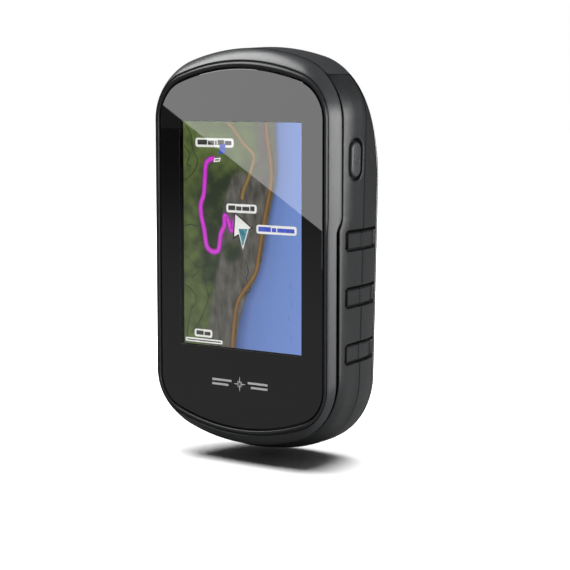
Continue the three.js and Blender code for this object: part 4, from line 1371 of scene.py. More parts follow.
    def chart(self) -> list[Piece]:
        """Every layer of the chart."""
        road, track = (
            StripFinish(f"chart_{name}", dark, light, 2.0, 1.0, edge, 0.34) for name, dark, light, edge in (
                ("road", tone(122, 88, 42), tone(150, 112, 56), tone(70, 50, 26)),
                ("track", tone(132, 104, 58), tone(160, 132, 78), tone(88, 72, 42)),
            )
        )
        trail = LitFinish("chart_trail", tone(38, 50, 30), tone(56, 70, 42), lump=1.0)
        route = StripFinish(
            "chart_route", tone(206, 40, 206), tone(228, 74, 226), 1.0, 1.0, tone(112, 22, 122),
        )
        black = LitFinish("chart_black", tone(14, 14, 14), tone(30, 30, 30), lump=1.0)
        teal = LitFinish("chart_teal", tone(40, 104, 120), tone(88, 168, 186), lump=1.2)
        blue = LitFinish("chart_blue", tone(30, 62, 170), tone(58, 92, 204), lump=1.0)
        mauve = LitFinish("chart_mauve", tone(84, 60, 66), tone(104, 78, 84), lump=1.0)
        parts = [self.ground(), self.lake()]
        shore_road = [
            (7.6, 28.35), (8.0, 24.5), (8.9, 19.5), (9.2, 15.6), (8.7, 11.4), (7.3, 5.5), (6.0, -0.6),
            (5.2, -5.0), (4.4, -8.6), (2.2, -11.8), (-0.6, -15.2), (-1.9, -18.2), (-2.6, -22.5),
            (-3.2, -28.35),
        ]
        hill_road = [
            (-4.6, 28.35), (-2.4, 26.4), (0.4, 23.2), (3.7, 20.3), (3.2, 17.4), (1.9, 14.1), (0.6, 11.6),
            (0.0, 9.2),
        ]
        lane = [(7.2, 28.35), (6.4, 25.0), (7.4, 22.0), (5.6, 18.6), (4.0, 17.2)]
        parts += [self.line(lane, 0.7, 3, mauve), self.line(hill_road, 1.25, 4, track)]
        parts.append(self.line(shore_road, 1.35, 4, road))
        trails = [
            [(-17.9, 27.2), (-16.3, 24.9), (-15.8, 21.5), (-14.2, 18.5), (-15.6, 15.5), (-18.4, 13.4)],
            [(-18.9, -13.2), (-16.2, -14.6), (-14.9, -17.2), (-16.8, -20.2), (-18.0, -26.4)],
            [
                (-10.2, -5.3), (-10.7, -9), (-11.6, -13), (-10.9, -16.5), (-12.6, -20.2), (-14.6, -23.5),
                (-16.6, -25.6),
            ],
            [(-18.9, 1.7), (-16.5, 2.2), (-14.2, 1.9), (-13.2, 3.2)],
            [(-12.2, -6.2), (-13.4, -8.4), (-15.4, -8.2), (-14.0, -9.6), (-16.2, -11.2)],
            [(-18.6, 22.2), (-16.8, 20.0), (-17.8, 17.6), (-16.2, 17.0)],
        ]
        parts += [self.line(points, 0.34, 3, trail) for points in trails]
        path = [(1.2, -6.2), (2.0, -8.6), (1.4, -10.8), (2.6, -13.2), (1.0, -14.4)]
        parts.append(self.line(path, 0.26, 3, black))
        deep = LitFinish("chart_depths", tone(96, 118, 184), tone(102, 126, 192), lump=1.0)
        for x, z in ((15.2, -12.4), (15.6, -16.8), (14.6, -20.2), (13.8, -23.6), (15.4, -25.2)):
            parts.append(self.line([(x, z), (x - 0.1, z + 1.5)], 0.2, 3, deep, 2))
        walked = [
            (-8.6, 19.1), (-10.3, 18.8), (-11.5, 17.4), (-11.9, 13.0), (-12.3, 9.8), (-13.2, 7.4),
            (-13.0, 4.4), (-12.1, 1.0), (-11.6, -2.0), (-10.9, -3.6), (-9.2, -4.4), (-7.6, -3.9),
            (-7.1, -2.0), (-6.7, 0.4), (-5.6, 2.4), (-5.4, 5.0), (-4.2, 3.3), (-3.2, 1.2), (-2.5, 3.0),
            (-2.0, 5.0),
        ]
        parts.append(self.line(walked, 1.55, 5, route))
        parts += [
            self.shape([(-2.4, 6.0), (3.5, 2.2), (1.5, 1.1), (-2.9, -0.9)], 6, black),
            self.shape([(-2.0, 5.4), (2.9, 2.2), (1.1, 1.5), (-2.4, -0.2)], 7, CHART_WHITE),
            self.shape([(-1.4, 2.1), (2.3, 2.2), (0.35, -3.4)], 8, CHART_WHITE),
            self.shape([(-1.0, 1.8), (1.9, 1.9), (0.35, -2.6)], 9, teal),
            self.shape([(-7.2, 20.2), (-5.3, 20.6), (-5.0, 23.0), (-6.9, 22.6)], 9, blue),
            self.shape([(-8.9, 18.2), (-6.9, 18.4), (-6.6, 19.4), (-8.7, 19.2)], 8, CHART_WHITE),
            self.shape([(-8.5, 18.6), (-7.1, 18.7), (-7.0, 19.0), (-8.4, 18.9)], 9, black),
        ]
        parts += self.label((-14.8, -2.5), 23.1, 2.3, Label.PLACE, (3, 2, 0.5, 2, 2))
        parts += self.label((-4.9, 4.7), 6.9, 2.2, Label.PLACE, (2, 1.5, 2, 1.2))
        parts += self.label((4.6, 17.0), 2.0, 2.2, Label.WATER, (2.2, 0.8, 3))
        parts += self.label((-15.4, -9.6), -25.4, 2.0, Label.PLACE, (2, 1.6))
        scale_bar = self.middle - 27.3
        depth = self.front - 7 * self.layer
        strip = flat_bar("scale", (-18.4, -6.3), (scale_bar - 0.5, scale_bar + 0.5), depth, 0.3)
        bar = flat_bar("scale_line", (-17.9, -6.8), (scale_bar - 0.16, scale_bar + 0.12), depth - self.layer)
        parts += [dress(strip, CHART_WHITE), dress(bar, black)]
        return parts

    def make(self) -> None:
        """Builds the panel with its chart and mounts it."""
        layers = merge_pieces("layers", *self.chart())
        thicken(layers, self.layer * 0.4)
        piece = merge_pieces("chart_screen", self.panel(), layers)
        mount(piece, "case", "lcd", "display_panel")


# ---------------- grip and key
@dataclass(frozen=True)
class PowerKey:
    """The rubber key in its moat on the right side."""

    depth: float = 9.75
    z: float = 74.5
    width: float = 4.0
    height: float = 8.6
    moat: float = 0.95
    travel: float = 0.4
    seat_skin: float = 2.2
    proud: float = 0.1
    edge_round: float = 0.6
    stem: float = 1.0

    def distance(self, depth: float, z: float) -> float:
        """Distance out from the moat's outer edge, at a place on the side."""
        radius = self.width / 2 + self.moat
        straight = (self.height - self.width) / 2
        return hypot(depth - self.depth, max(abs(z - self.z) - straight, 0)) - radius

    def well(self, floor_skin: float) -> Piece:
        """A tool that cuts the moat down to a skin."""
        size = (self.width + 2 * self.moat, self.height + 2 * self.moat)
        floor = FORM.side(self.depth, self.z, floor_skin)
        return upright_slot("well", self.depth, self.z, size, (floor, FORM.width))

    def build(self) -> Piece:
        """The key: a crowned head that leans with the side, its stem, and a raised sign."""
        seat = FORM.side(self.depth, self.z, self.seat_skin)
        face = FORM.side(self.depth, self.z) + self.proud
        back = seat + self.travel + 0.2
        head = upright_slot("head", self.depth, self.z, (self.width, self.height), (back, face))
        head = round_edges(head, self.edge_round, 5)
        for vertex in head.data.vertices:
            if vertex.co.x > (back + 0.3) * MM:
                lean = FORM.side(self.depth, vertex.co.z / MM) - FORM.side(self.depth, self.z)
                vertex.co.x += lean * MM
        stem = cross_rod("stem", self.depth, self.z, self.stem, (box_of("power_key")[0][0], back + 0.3))
        combine(head, Cut.JOIN, stem)
        clear_selection()
        bpy.ops.mesh.primitive_torus_add(
            major_radius=0.85 * MM, minor_radius=0.12 * MM, major_segments=40, minor_segments=10,
            location=spot(face + 0.01, self.depth, self.z - 0.2), rotation=(0, pi / 2, 0),
        )
        ring = settle(bpy.context.object, "ring")
        for vertex in ring.data.vertices:
            if vertex.co.z > (self.z + 0.35) * MM:
                vertex.co.x -= 0.3 * MM
        depths = (self.depth - 0.1, self.depth + 0.1)
        dash = block("dash", (face - 0.3, face + 0.12), depths, (self.z, self.z + 1.0))
        sign = merge_pieces("sign", ring, round_edges(dash, 0.05, 2))
        piece = merge_pieces("key_button", head, sign)
        return soften(piece, 40)

    def make(self) -> None:
        """Builds, dresses and mounts the key."""
        mount(dress(self.build(), KEY), "power_key", "key_rubber", "power_key")


KEY_PLACE = PowerKey()


@dataclass(frozen=True)
class Notches:
    """The finger notches in the sides of the grip."""

    bottom: float = 24.2
    height: float = 5.4
    pitch: float = 13.95
    count: int = 3
    front: float = 5.3
    corner: float = 1.1
    wall: float = 0.28
    deep: float = 1.12
    floor: float = 0.5
    front_ease: float = 0.6
    rear: float = 22.7
    rear_fade: float = 0.8

    def inside(self, depth: float, z: float) -> tuple[float, float]:
        """How far inside a notch's outline a place is, and how near that notch's top."""
        for i in range(self.count):
            middle = self.bottom + i * self.pitch + self.height / 2
            across = abs(z - middle) - (self.height / 2 - self.corner)
            along = (self.front - depth) * self.front_ease + self.corner
            reach = hypot(max(across, 0), max(along, 0)) or max(across, along)
            if reach < self.corner:
                return self.corner - reach, smooth((z - middle) / (self.height / 2))
        return 0.0, 0.0

    def sink(self, depth: float, z: float) -> float:
        """How deep the notches are at a place on the side."""
        inside, upper = self.inside(depth, z)
        edge = smooth(inside / self.wall)
        settled = smooth((inside - self.wall - 0.2) / (0.35 + 0.6 * upper))
        bed = self.deep - (self.deep - self.floor) * settled
        return edge * bed * smooth((self.rear - depth) / self.rear_fade)

    def groove(self, depth: float, z: float) -> float:
        """How much shade is painted in a notch at a place: along its walls, at its front end and, lighter,
        near the grip's rear edge.
        """
        inside, upper = self.inside(depth, z)
        foot = 1 - smooth((inside - 0.2 - 0.6 * upper) / 0.3)
        front = smooth((self.front + 2.4 - depth) / 0.5)
        back = 0.55 * smooth((depth - self.rear + 1.5) / 0.5)
        return smooth((inside - 0.05) / 0.15) * max(foot, front, back)

    def heights(self) -> list[float]:
        """Heights at which the grip needs fine stations."""
        fine = []
        for i in range(self.count):
            low = self.bottom + i * self.pitch
            high = low + self.height
            fine += between(low - 0.3, low + 1.4, 12) + between(high - 2.0, high + 0.3, 16)
        return fine


@dataclass(frozen=True)
class SideGrip:
    """The rubber grip: one thin skin round both sides and the lower end."""

    top: float = 95.0
    low: float = 22.5
    rear: float = 22.85
    taper_low: float = 70.5
    taper_top_depth: float = 13.5
    thickness: float = 1.4
    edge_round: float = 0.35
    shoulder: float = 4.2
    shoulder_sink: float = 0.66
    crease_depth: float = 13.9
    crease_sink: float = 0.09
    run_stations: int = 92
    notches: Notches = Notches()

    def front_depth(self, z: float) -> float:
        """Depth of the front edge at a height."""
        return SEAM_LINE.depth(z) + SEAM_LINE.gap

    def rear_depth(self, z: float) -> float:
        """Depth of the rear edge at a height: it runs forward up the shoulders."""
        share = max(z - self.taper_low, 0) / (self.top + 1 - self.taper_low)
        return self.rear + (self.taper_top_depth - self.rear) * share

    def depth_marks(self) -> list[float]:
        """Depths of the stations between the two edges."""
        return [
            *between(3.0, 4.8, 5), *between(4.8, 7.2, 17), *between(7.2, 13.4, 22),
            *between(13.4, 14.4, 9), *between(14.4, 22.6, 20),
        ]

    def sink(self, depth: float, z: float, start: float, stop: float) -> float:
        """How far the surface lies under the body's form: round edges, notches, crease and moat rim."""
        near = min(depth - start, stop - depth)
        edge = 0.0
        if near < self.edge_round:
            edge = self.edge_round - sqrt(self.edge_round**2 - (self.edge_round - near) ** 2)
        if depth < self.crease_depth:
            edge += self.shoulder_sink * max(1 - near / self.shoulder, 0) ** 2
        crease = max(1 - abs(depth - self.crease_depth) / 0.3, 0) * self.crease_sink * smooth((z - 12) / 12)
        hollow = self.notches.sink(depth, z)
        moat = KEY_PLACE.distance(depth, z)
        rim = 0.14 * max(1 - max(moat, 0) / 0.4, 0) ** 2 if moat < 0.4 else 0.0
        return min(max(edge, hollow + crease * (1.6 if hollow > 0.3 else 1)) + rim, self.thickness - 0.25)

    def build(self) -> Piece:
        """The grip as one closed skin with its key hole cut."""
        marks = self.depth_marks()
        heights = {*self.notches.heights(), *between(68.2, 81, 46), *between(56.5, 61.5, 16)}
        heights |= {*between(self.low, self.top, 90), self.top}
        side: list[float] = []
        for z in sorted(heights):
            if not side or z - side[-1] > 0.09:
                side.append(z)
        side[-1] = self.top
        turns = [self.edge_round * share for share in (0.0, 0.1, 0.25, 0.45, 0.7, 1.0)]
        outer, inner = len(turns) * 2 + len(marks), 6
        rows = outer + inner + 1
        columns = 2 * len(side) + self.run_stations - 2

        def station(column: int) -> tuple[int, float, int]:
            """Side (1, -1, or 0 for the run), height, and index on the run."""
            if column < len(side):
                return 1, side[len(side) - 1 - column], 0
            index = column - len(side) + 1
            if index < self.run_stations - 1:
                return 0, 0.0, index
            return -1, side[index - self.run_stations + 1], 0

        def row_place(row: int, z: float, right: bool) -> tuple[float, float]:
            """Depth and skin of a row at a height; the last row closes on the first."""
            row %= rows - 1
            start, stop = self.front_depth(z), self.rear_depth(z)
            if row >= outer:
                row_share = (row - outer) / (inner - 1)
                return stop + (start - stop) * row_share, self.thickness
            if row < len(turns):
                depth = start + turns[row]
            elif row < len(turns) + len(marks):
                depth = min(max(marks[row - len(turns)], start + turns[-1]), stop - turns[-1])
            else:
                depth = stop - turns[outer - 1 - row]
            skin = self.sink(depth, z, start, stop)
            if not right and KEY_PLACE.distance(depth, z) < 0.4:
                skin = 0.0
            return depth, skin

        def place(column: int, row: int) -> Vector:
            sign, z, index = station(column)
            if sign:
                depth, skin = row_place(row, z, sign > 0)
                return spot(sign * FORM.side(depth, z, skin), depth, z)
            share = index / (self.run_stations - 1)
            near = self.low - 14 * sin(min(share, 1 - share) * pi)
            depth, skin = row_place(row, near, False)
            x, z = FORM.lower_run(depth, skin, self.low, self.run_stations)[index]
            return spot(x, depth, z)

        piece = close_skin(draw_skin("grip_skin", columns, rows, place))
        combine(piece, Cut.AWAY, KEY_PLACE.well(3.0))
        # Painted shade on the grip: darkened notch walls, a dark line along the crease and a dark front wall
        # in the gap at the seam.
        soil = piece.data.attributes.new("soil", "FLOAT", "POINT")
        for vertex in piece.data.vertices:
            depth, z = (vertex.co.y - FRONT_Y) / MM, vertex.co.z / MM
            groove = self.notches.groove(depth, z)
            # painted dark line along the crease
            line = smooth(1.5 - abs(depth - self.crease_depth) / 0.3) * 0.8
            # painted shadow on the grip's front wall, inside the seam gap
            wall = smooth((self.front_depth(z) + 0.08 - depth) / 0.06)
            soil.data[vertex.index].value = max(groove, line, wall)
        return soften(piece, 40)

    def make(self) -> None:
        """Builds, dresses and mounts the grip."""
        mount(dress(self.build(), GRIP), "case", "grip_rubber", "side_grip")


# ---------------- rear shell
@dataclass(frozen=True)
class BatteryRoom:
    """The battery compartment and what lines up with it."""

    cell_diameter: float = 14.5
    cell_length: float = 50.5
    cell_gap: float = 0.7
    bottom: float = 16.8
    spring_room: float = 3.4
    wall: float = 1.5

    @property
    def cell_x(self) -> float:
        """Middle of the right cell."""
        return (self.cell_diameter + self.cell_gap) / 2

    @property
    def cell_depth(self) -> float:
        """Depth of the cells' middle."""
        return FORM.back_depth - 1.6 - 0.4 - self.cell_diameter / 2

    @property
    def half(self) -> float:
        """Half of the compartment's width."""
        return self.cell_x + self.cell_diameter / 2 + 0.55

    @property
    def floor(self) -> float:
        """Depth of the compartment's floor."""
        return self.cell_depth - self.cell_diameter / 2 - 0.3

    @property
    def cell_bottom(self) -> float:
        """Height of the cells' lower end."""
        return self.bottom + self.spring_room

    @property
    def top(self) -> float:
        """Height of the compartment's upper end."""
        return self.cell_bottom + self.cell_length + self.spring_room - 0.3

    def span(self, gap: float) -> Point:
        """The compartment's lower and upper end, with a gap beyond both."""
        return self.bottom - gap, self.top + gap


ROOM = BatteryRoom()
FAR = 60.0
DOOR_FRONT = 23.1
DOOR_TOP = 76.5
LATCH_Z = 8.2


@dataclass(frozen=True)
class RearShell:
    """The rear case: it shows at the shoulders and top, and round the batteries when the door is off."""

    grip_bed: float = 1.5
    hollow: float = 3.3
    door_bed: float = 1.9
    rim_depth: float = 24.5
    seal_gap: float = 0.1
    dish_seat: float = 24.2
    keyhole: float = 4.0
    well_x: float = 11.5
    well_z: float = 9.0
    card_gap: float = 0.6
    port_wall: float = 1.6
    port_floor: float = 21.8
    leg_front: float = 13.2
    plug_gap: float = 0.4
    mouth_gap: float = 0.25

    def grip_room(self, grip: SideGrip) -> Piece:
        """The zone that the grip takes, down to its bed."""
        gap = self.seal_gap
        zone = block("zone", FAR, (3.0, grip.rear + gap), (-FAR, grip.top + gap))
        front, back = grip.rear + gap, FAR
        slope = block("slope", FAR, (front, back), (grip.taper_low, grip.top + 2))
        top_front = grip.taper_top_depth + gap
        for vertex in slope.data.vertices:
            if vertex.co.z > grip.top * MM and vertex.co.y < spot(0, back - 1, 0).y:
                vertex.co.y = spot(0, top_front, 0).y
        combine(zone, Cut.AWAY, slope)
        return combine(zone, Cut.AWAY, FORM.solid("bed", self.grip_bed, 2.0))

    def build(self, grip: SideGrip) -> Piece:
        """The case, cut as it is moulded."""
        shell = FORM.solid("case_shell", 0.0, FORM.seam_depth + 0.25)
        door_zone = block("door_zone", FAR, (DOOR_FRONT - 0.3, FAR), (-FAR, DOOR_TOP + 0.3))
        combine(door_zone, Cut.AWAY, FORM.solid("bed", self.door_bed, 2.0))
        inside = FORM.solid("inside", self.hollow, FORM.seam_depth - 1)
        half = ROOM.half + ROOM.wall + 0.3
        battery_block = block("battery_block", half, (ROOM.floor - ROOM.wall, FAR), ROOM.span(ROOM.wall))
        rear_wall = block("rear_wall", FAR, (self.dish_seat - 2.7, FAR), (-FAR, ROOM.top + ROOM.wall))
        combine(inside, Cut.AWAY, battery_block, rear_wall)
        combine(shell, Cut.AWAY, self.grip_room(grip), door_zone, inside)
        rim = block("rim", FAR, (self.rim_depth, FAR), (-FAR, DOOR_TOP - 0.6))
        room = round_edges(block("room", ROOM.half, (ROOM.floor, FAR), ROOM.span(0.0)), 0.8, 4)
        dish = rod("dish", 0, LATCH_Z, 7.0, (self.dish_seat, FAR))
        hole = rod("hole", 0, LATCH_Z, self.keyhole, (12, FAR))
        tools = [rim, room, dish, hole]
        for side in (-1, 1):
            post = rod("post", side * self.well_x, self.well_z, 3.0, (7.6, DOOR_FRONT))
            combine(shell, Cut.JOIN, post)
            tools.append(rod("well", side * self.well_x, self.well_z, 2.15, (9.2, FAR)))
            tools.append(rod("pilot", side * self.well_x, self.well_z, 1.25, (0, FAR)))
        combine(shell, Cut.AWAY, *tools)
        self.add_port_room(shell)
        window = room_for("card_socket", self.card_gap, (ROOM.floor - 3, ROOM.floor + 1))
        stem = cross_rod("stem", KEY_PLACE.depth, KEY_PLACE.z, KEY_PLACE.stem + 0.25, (15, FAR))
        combine(shell, Cut.AWAY, window, KEY_PLACE.well(KEY_PLACE.seat_skin), stem, self.seal_groove())
        return even_out(shell)

    def seal_groove(self) -> Piece:
        """A tool for the groove that takes the cord seal."""
        (_, front, _), (_, back, _) = box_of("case_seal")
        edges = [(0, back + self.seal_gap), (0, front - 0.05)]
        outline = FORM.outline(FORM.seam_depth)
        groove = plate("groove", outline.inset(self.grip_bed + 0.3), edges)
        core = plate("core", outline.inset(self.hollow - 0.3), [(0, edges[0][1] + 1), (0, edges[1][1] - 1)])
        return combine(groove, Cut.AWAY, core)

    def add_port_room(self, shell: Piece) -> None:
        """Adds the pocket of the port and the seat of its cap."""
        cap, wall, floor, gap = CAP_PLACE, self.port_wall, self.port_floor, self.plug_gap
        half = cap.plug_half + gap
        low, high = cap.port_z - cap.plug_height / 2 - gap, cap.port_z + cap.plug_height / 2 + gap
        around = block("around", (-half - wall, half + wall), (floor - 1.4, FAR), (low - wall, high + wall))
        combine(shell, Cut.JOIN, combine(around, Cut.KEEP, FORM.solid("limit", 0.6, 4.0)))
        for side in (-1, 1):
            ends = on_side(side, half + 0.3, half + wall)
            combine(shell, Cut.JOIN, block("leg", ends, (self.leg_front, floor), (low, high)))
        seat = cap.outline_block(0.3, (0, FAR))
        combine(seat, Cut.AWAY, FORM.solid("bed", cap.thickness + 0.3, 4.0))
        pocket = round_edges(block("pocket", half, (floor, FAR), (low, high)), 0.5, 3)
        mouth = room_for("usb_port", self.mouth_gap, (floor - 3, FAR))
        combine(shell, Cut.AWAY, pocket, mouth, seat)

    def make(self, grip: SideGrip) -> None:
        """Builds, dresses and mounts the case."""
        mount(dress(self.build(grip), CASE), "case", "case_plastic", "rear_case")


@dataclass(frozen=True)
class WeatherCap:
    """The rubber cap over the port, with a raised frame and thumb ridges."""

    half: float = 7.5
    bottom: float = 80.1
    height: float = 12.0
    corner: float = 1.6
    thickness: float = 1.6
    plug_half: float = 5.8
    plug_height: float = 6.0
    port_z: float = 85.6
    plug_front: float = 23.4
    ridge: float = 0.28

    def outline_block(self, grow: float, depth: Point) -> Piece:
        """A block with the lid's outline, grown by a gap."""
        half = self.half + grow
        piece = block("lid", half, depth, (self.bottom - grow, self.bottom + self.height + grow))
        return round_uprights(piece, self.corner + grow, 6)

    def raised_line(self, points: Line, width: float) -> Piece:
        """A raised round bar that follows the lid's surface along a line."""
        half = [(0.2, -0.95), (0.42, -0.6), (0.5, 0.12)]
        sections = [*((-share, rise) for share, rise in reversed(half)), *half, (-0.5, 0.12)]

        def place(column: int, row: int) -> Vector:
            share, rise = sections[column]
            x, z = beside(points, row, share * width)
            skin = rise * self.ridge if rise < 0 else rise
            return spot(x, FORM.rear_depth(x, z, skin), z)

        return close_skin(draw_skin("ridge", len(sections), len(points), place))

    def build(self) -> Piece:
        """The lid, its plug and its raised marks."""
        lid = self.outline_block(0.0, (FORM.crease_depth, FAR))
        combine(lid, Cut.KEEP, FORM.solid("skin", 0.0, 4.0))
        combine(lid, Cut.AWAY, FORM.solid("bed", self.thickness, 3.0))
        half_tall = self.plug_height / 2
        heights = (self.port_z - half_tall, self.port_z + half_tall)
        plug = block("plug", self.plug_half, (self.plug_front, FAR), heights)
        combine(round_edges(plug, 0.5, 3), Cut.KEEP, FORM.solid("limit", 0.8, 4.0))
        combine(lid, Cut.JOIN, plug)
        middle = self.bottom + self.height * 0.58
        border = corner_points((-4.3, 4.3), (middle - 2.4, middle + 2.4), 0.9, 5)
        marks = [self.raised_line([*border, border[0]], 0.7)]
        marks.append(self.raised_line([(-2.2 + 0.4 * i, middle) for i in range(12)], 0.9))
        for i in range(3):
            z = self.bottom + 1.1 + 0.85 * i
            marks.append(self.raised_line([(-4 + 0.5 * k, z) for k in range(17)], 0.5))
        return even_out(merge_pieces("port_cap", lid, *marks), 35)

    def make(self) -> None:
        """Builds, dresses and mounts the cap."""
        mount(dress(self.build(), CAP), "weather_cap", "key_rubber", "weather_cap")


CAP_PLACE = WeatherCap()


# ---------------- door and latch
@dataclass(frozen=True)
class BatteryDoor:
    """The lift-off door with its mounting rail and the dish of the latch."""

    thickness: float = 1.6
    neck_half: float = 6.2
    head_half: float = 9.2
    head_depth: float = 2.3
    rail_height: float = 4.2
    rail_bottom: float = 29.0
    rail_top: float = 69.5
    lead_in: float = 5.0
    dish_radius: float = 5.6
    dish_depth: float = 2.2
    dish_floor: float = 1.7
    shaft_hole: float = 2.0
    rib_front: float = 25.4
    rib_gap: float = 0.4
    slot_low: float = 30.0
    slot_pitch: float = 8.0
    slot_span: Point = (12.6, 18.6)

    def rail(self) -> Piece:
        """The T-shaped rail with a sloped lead-in and a centre groove."""
        back = FORM.back_depth
        neck_back = back + self.rail_height - self.head_depth
        span = (self.rail_bottom, self.rail_top)
        head = block("head", self.head_half, (neck_back, back + self.rail_height), span)
        for vertex in head.data.vertices:
            if vertex.co.z > (self.rail_top - 1) * MM and vertex.co.y > spot(0, neck_back + 1, 0).y:
                vertex.co.z -= (self.lead_in - 1) * MM
        head = round_edges(head, 0.35, 3, 20)
        heights = (span[0] + 0.3, span[1] - 0.3)
        neck = block("neck", self.neck_half, (back - 0.5, neck_back + 0.2), heights)
        stop = block("groove", 2.2, (back + self.rail_height - 0.7, FAR), (span[0] + 4, span[1] - 9))
        combine(head, Cut.JOIN, neck)
        return combine(head, Cut.AWAY, round_edges(stop, 0.3, 3))

    def build(self) -> Piece:
        """The door: lid, rail, rib and latch dish."""
        lid = FORM.solid("door_lid", 0.0, 20.0)
        zone = block("zone", FAR, (DOOR_FRONT, FAR), (-FAR, DOOR_TOP))
        combine(lid, Cut.KEEP, zone)
        combine(lid, Cut.AWAY, FORM.solid("bed", self.thickness, 3.0))
        dish_bottom = FORM.back_depth - self.dish_depth
        depths = (dish_bottom - self.dish_floor, FORM.back_depth - 0.4)
        boss = rod("boss", 0, LATCH_Z, self.dish_radius + 0.8, depths)
        grow = ROOM.wall - 0.1
        rib = block("rib", ROOM.half + grow, (self.rib_front, FORM.back_depth), ROOM.span(grow))
        core = block("core", ROOM.half + self.rib_gap, (0, FAR), ROOM.span(self.rib_gap))
        combine(rib, Cut.AWAY, core)
        combine(boss, Cut.JOIN, rib)
        combine(boss, Cut.KEEP, FORM.solid("limit", 0.3, 3.0))
        combine(lid, Cut.JOIN, boss, self.rail())
        dish = round_edges(rod("dish", 0, LATCH_Z, self.dish_radius, (dish_bottom, FAR), 96), 0.3, 3)
        combine(lid, Cut.AWAY, dish, rod("hole", 0, LATCH_Z, self.shaft_hole, (0, FAR)))
        for side in (-1, 1):
            for i in range(5):
                z = self.slot_low + self.slot_pitch * i
                ends = on_side(side, *self.slot_span)
                groove = block("slot", ends, (FORM.back_depth - 0.35, FAR), (z, z + 1.2))
                combine(lid, Cut.AWAY, round_edges(groove, 0.3, 3))
        lid.name = lid.data.name = "door_panel"
        return even_out(lid)

    def make(self) -> None:
        """Builds, dresses and mounts the door."""
        mount(dress(self.build(), CASE), "battery_door", "case_plastic", "battery_door")


@dataclass(frozen=True)
class Latch:
    """The quarter-turn stud and its folding ring."""

    head_radius: float = 3.7
    head_depth: float = 1.6
    shaft_radius: float = 1.8
    ring_inner: float = 4.0
    ring_outer: float = 5.3
    ring_thickness: float = 1.5
    ear: float = 0.7
    pin_radius: float = 0.5

    @property
    def ring_depth(self) -> float:
        """Depth of the ring's pins."""
        return FORM.back_depth - 2.2 + 1.1

    def stud(self) -> Piece:
        """The stud: a turned head with a shallow cup, on its shaft."""
        front = FORM.back_depth - 2.2 + 0.2
        head = rod("latch_head", 0, LATCH_Z, self.head_radius, (front, front + self.head_depth), 96)
        round_edges(head, 0.22, 3)
        tail = box_of("latch_stud")[0][1]
        combine(head, Cut.JOIN, rod("shaft", 0, LATCH_Z, self.shaft_radius, (tail, front + 0.2)))
        cup = rod("cup", 0, LATCH_Z, 2.5, (front + self.head_depth - 0.3, front + 4), 96)
        slot = block("slot", 0.5, (front + self.head_depth - 0.9, FAR), (LATCH_Z - 2.1, LATCH_Z + 2.1))
        combine(head, Cut.AWAY, round_edges(cup, 0.15, 2), round_edges(slot, 0.15, 2))
        for side in (-1, 1):
            ends = on_side(side, 2.75, 9.0)
            combine(head, Cut.AWAY, cross_rod("hole", self.ring_depth, LATCH_Z, self.pin_radius + 0.15, ends))
        return even_out(head)

    def ring(self) -> Piece:
        """The bow: a rounded section spun half round, with straight ears and two pins."""
        middle = (self.ring_inner + self.ring_outer) / 2
        wide, deep = (self.ring_outer - self.ring_inner) / 2, self.ring_thickness / 2
        clear_selection()
        bpy.ops.mesh.primitive_circle_add(vertices=24, radius=1, fill_type="NOTHING")
        bow = settle(bpy.context.object, "latch_bow")
        for vertex in bow.data.vertices:
            angle = atan2(vertex.co.y, vertex.co.x)
            squared = (abs(cos(angle)) ** 3 + abs(sin(angle)) ** 3) ** (-1 / 3)
            x, depth = cos(angle) * squared * wide, sin(angle) * squared * deep
            vertex.co = spot(middle + x, self.ring_depth + depth, LATCH_Z + self.ear)
        with editing(bow):
            bpy.ops.mesh.extrude_region_move(TRANSFORM_OT_translate={"value": (0, 0, -self.ear * MM)})
            bpy.ops.mesh.spin(
                steps=40, angle=-pi, center=spot(0, self.ring_depth, LATCH_Z), axis=(0, 1, 0),
                use_auto_merge=False,
            )
        end = (LATCH_Z - 0.01) * MM
        with editing(bow, lambda a, b: a.x < -MM and b.x < -MM and max(a.z, b.z) > end):
            bpy.ops.mesh.extrude_region_move(TRANSFORM_OT_translate={"value": (0, 0, self.ear * MM)})
        close_skin(bow)
        for side in (-1, 1):
            ends = on_side(side, self.ring_inner - 0.9, self.ring_inner + 0.3)
            combine(bow, Cut.JOIN, cross_rod("pin", self.ring_depth, LATCH_Z, self.pin_radius, ends))
        return soften(bow, 40)

    def make(self) -> None:
        """Builds, dresses and mounts the stud and the ring."""
        mount(dress(self.stud(), STEEL), "latch", "latch_steel", "latch_stud")
        mount(dress(self.ring(), STEEL), "latch_ring", "latch_steel", "latch_ring")


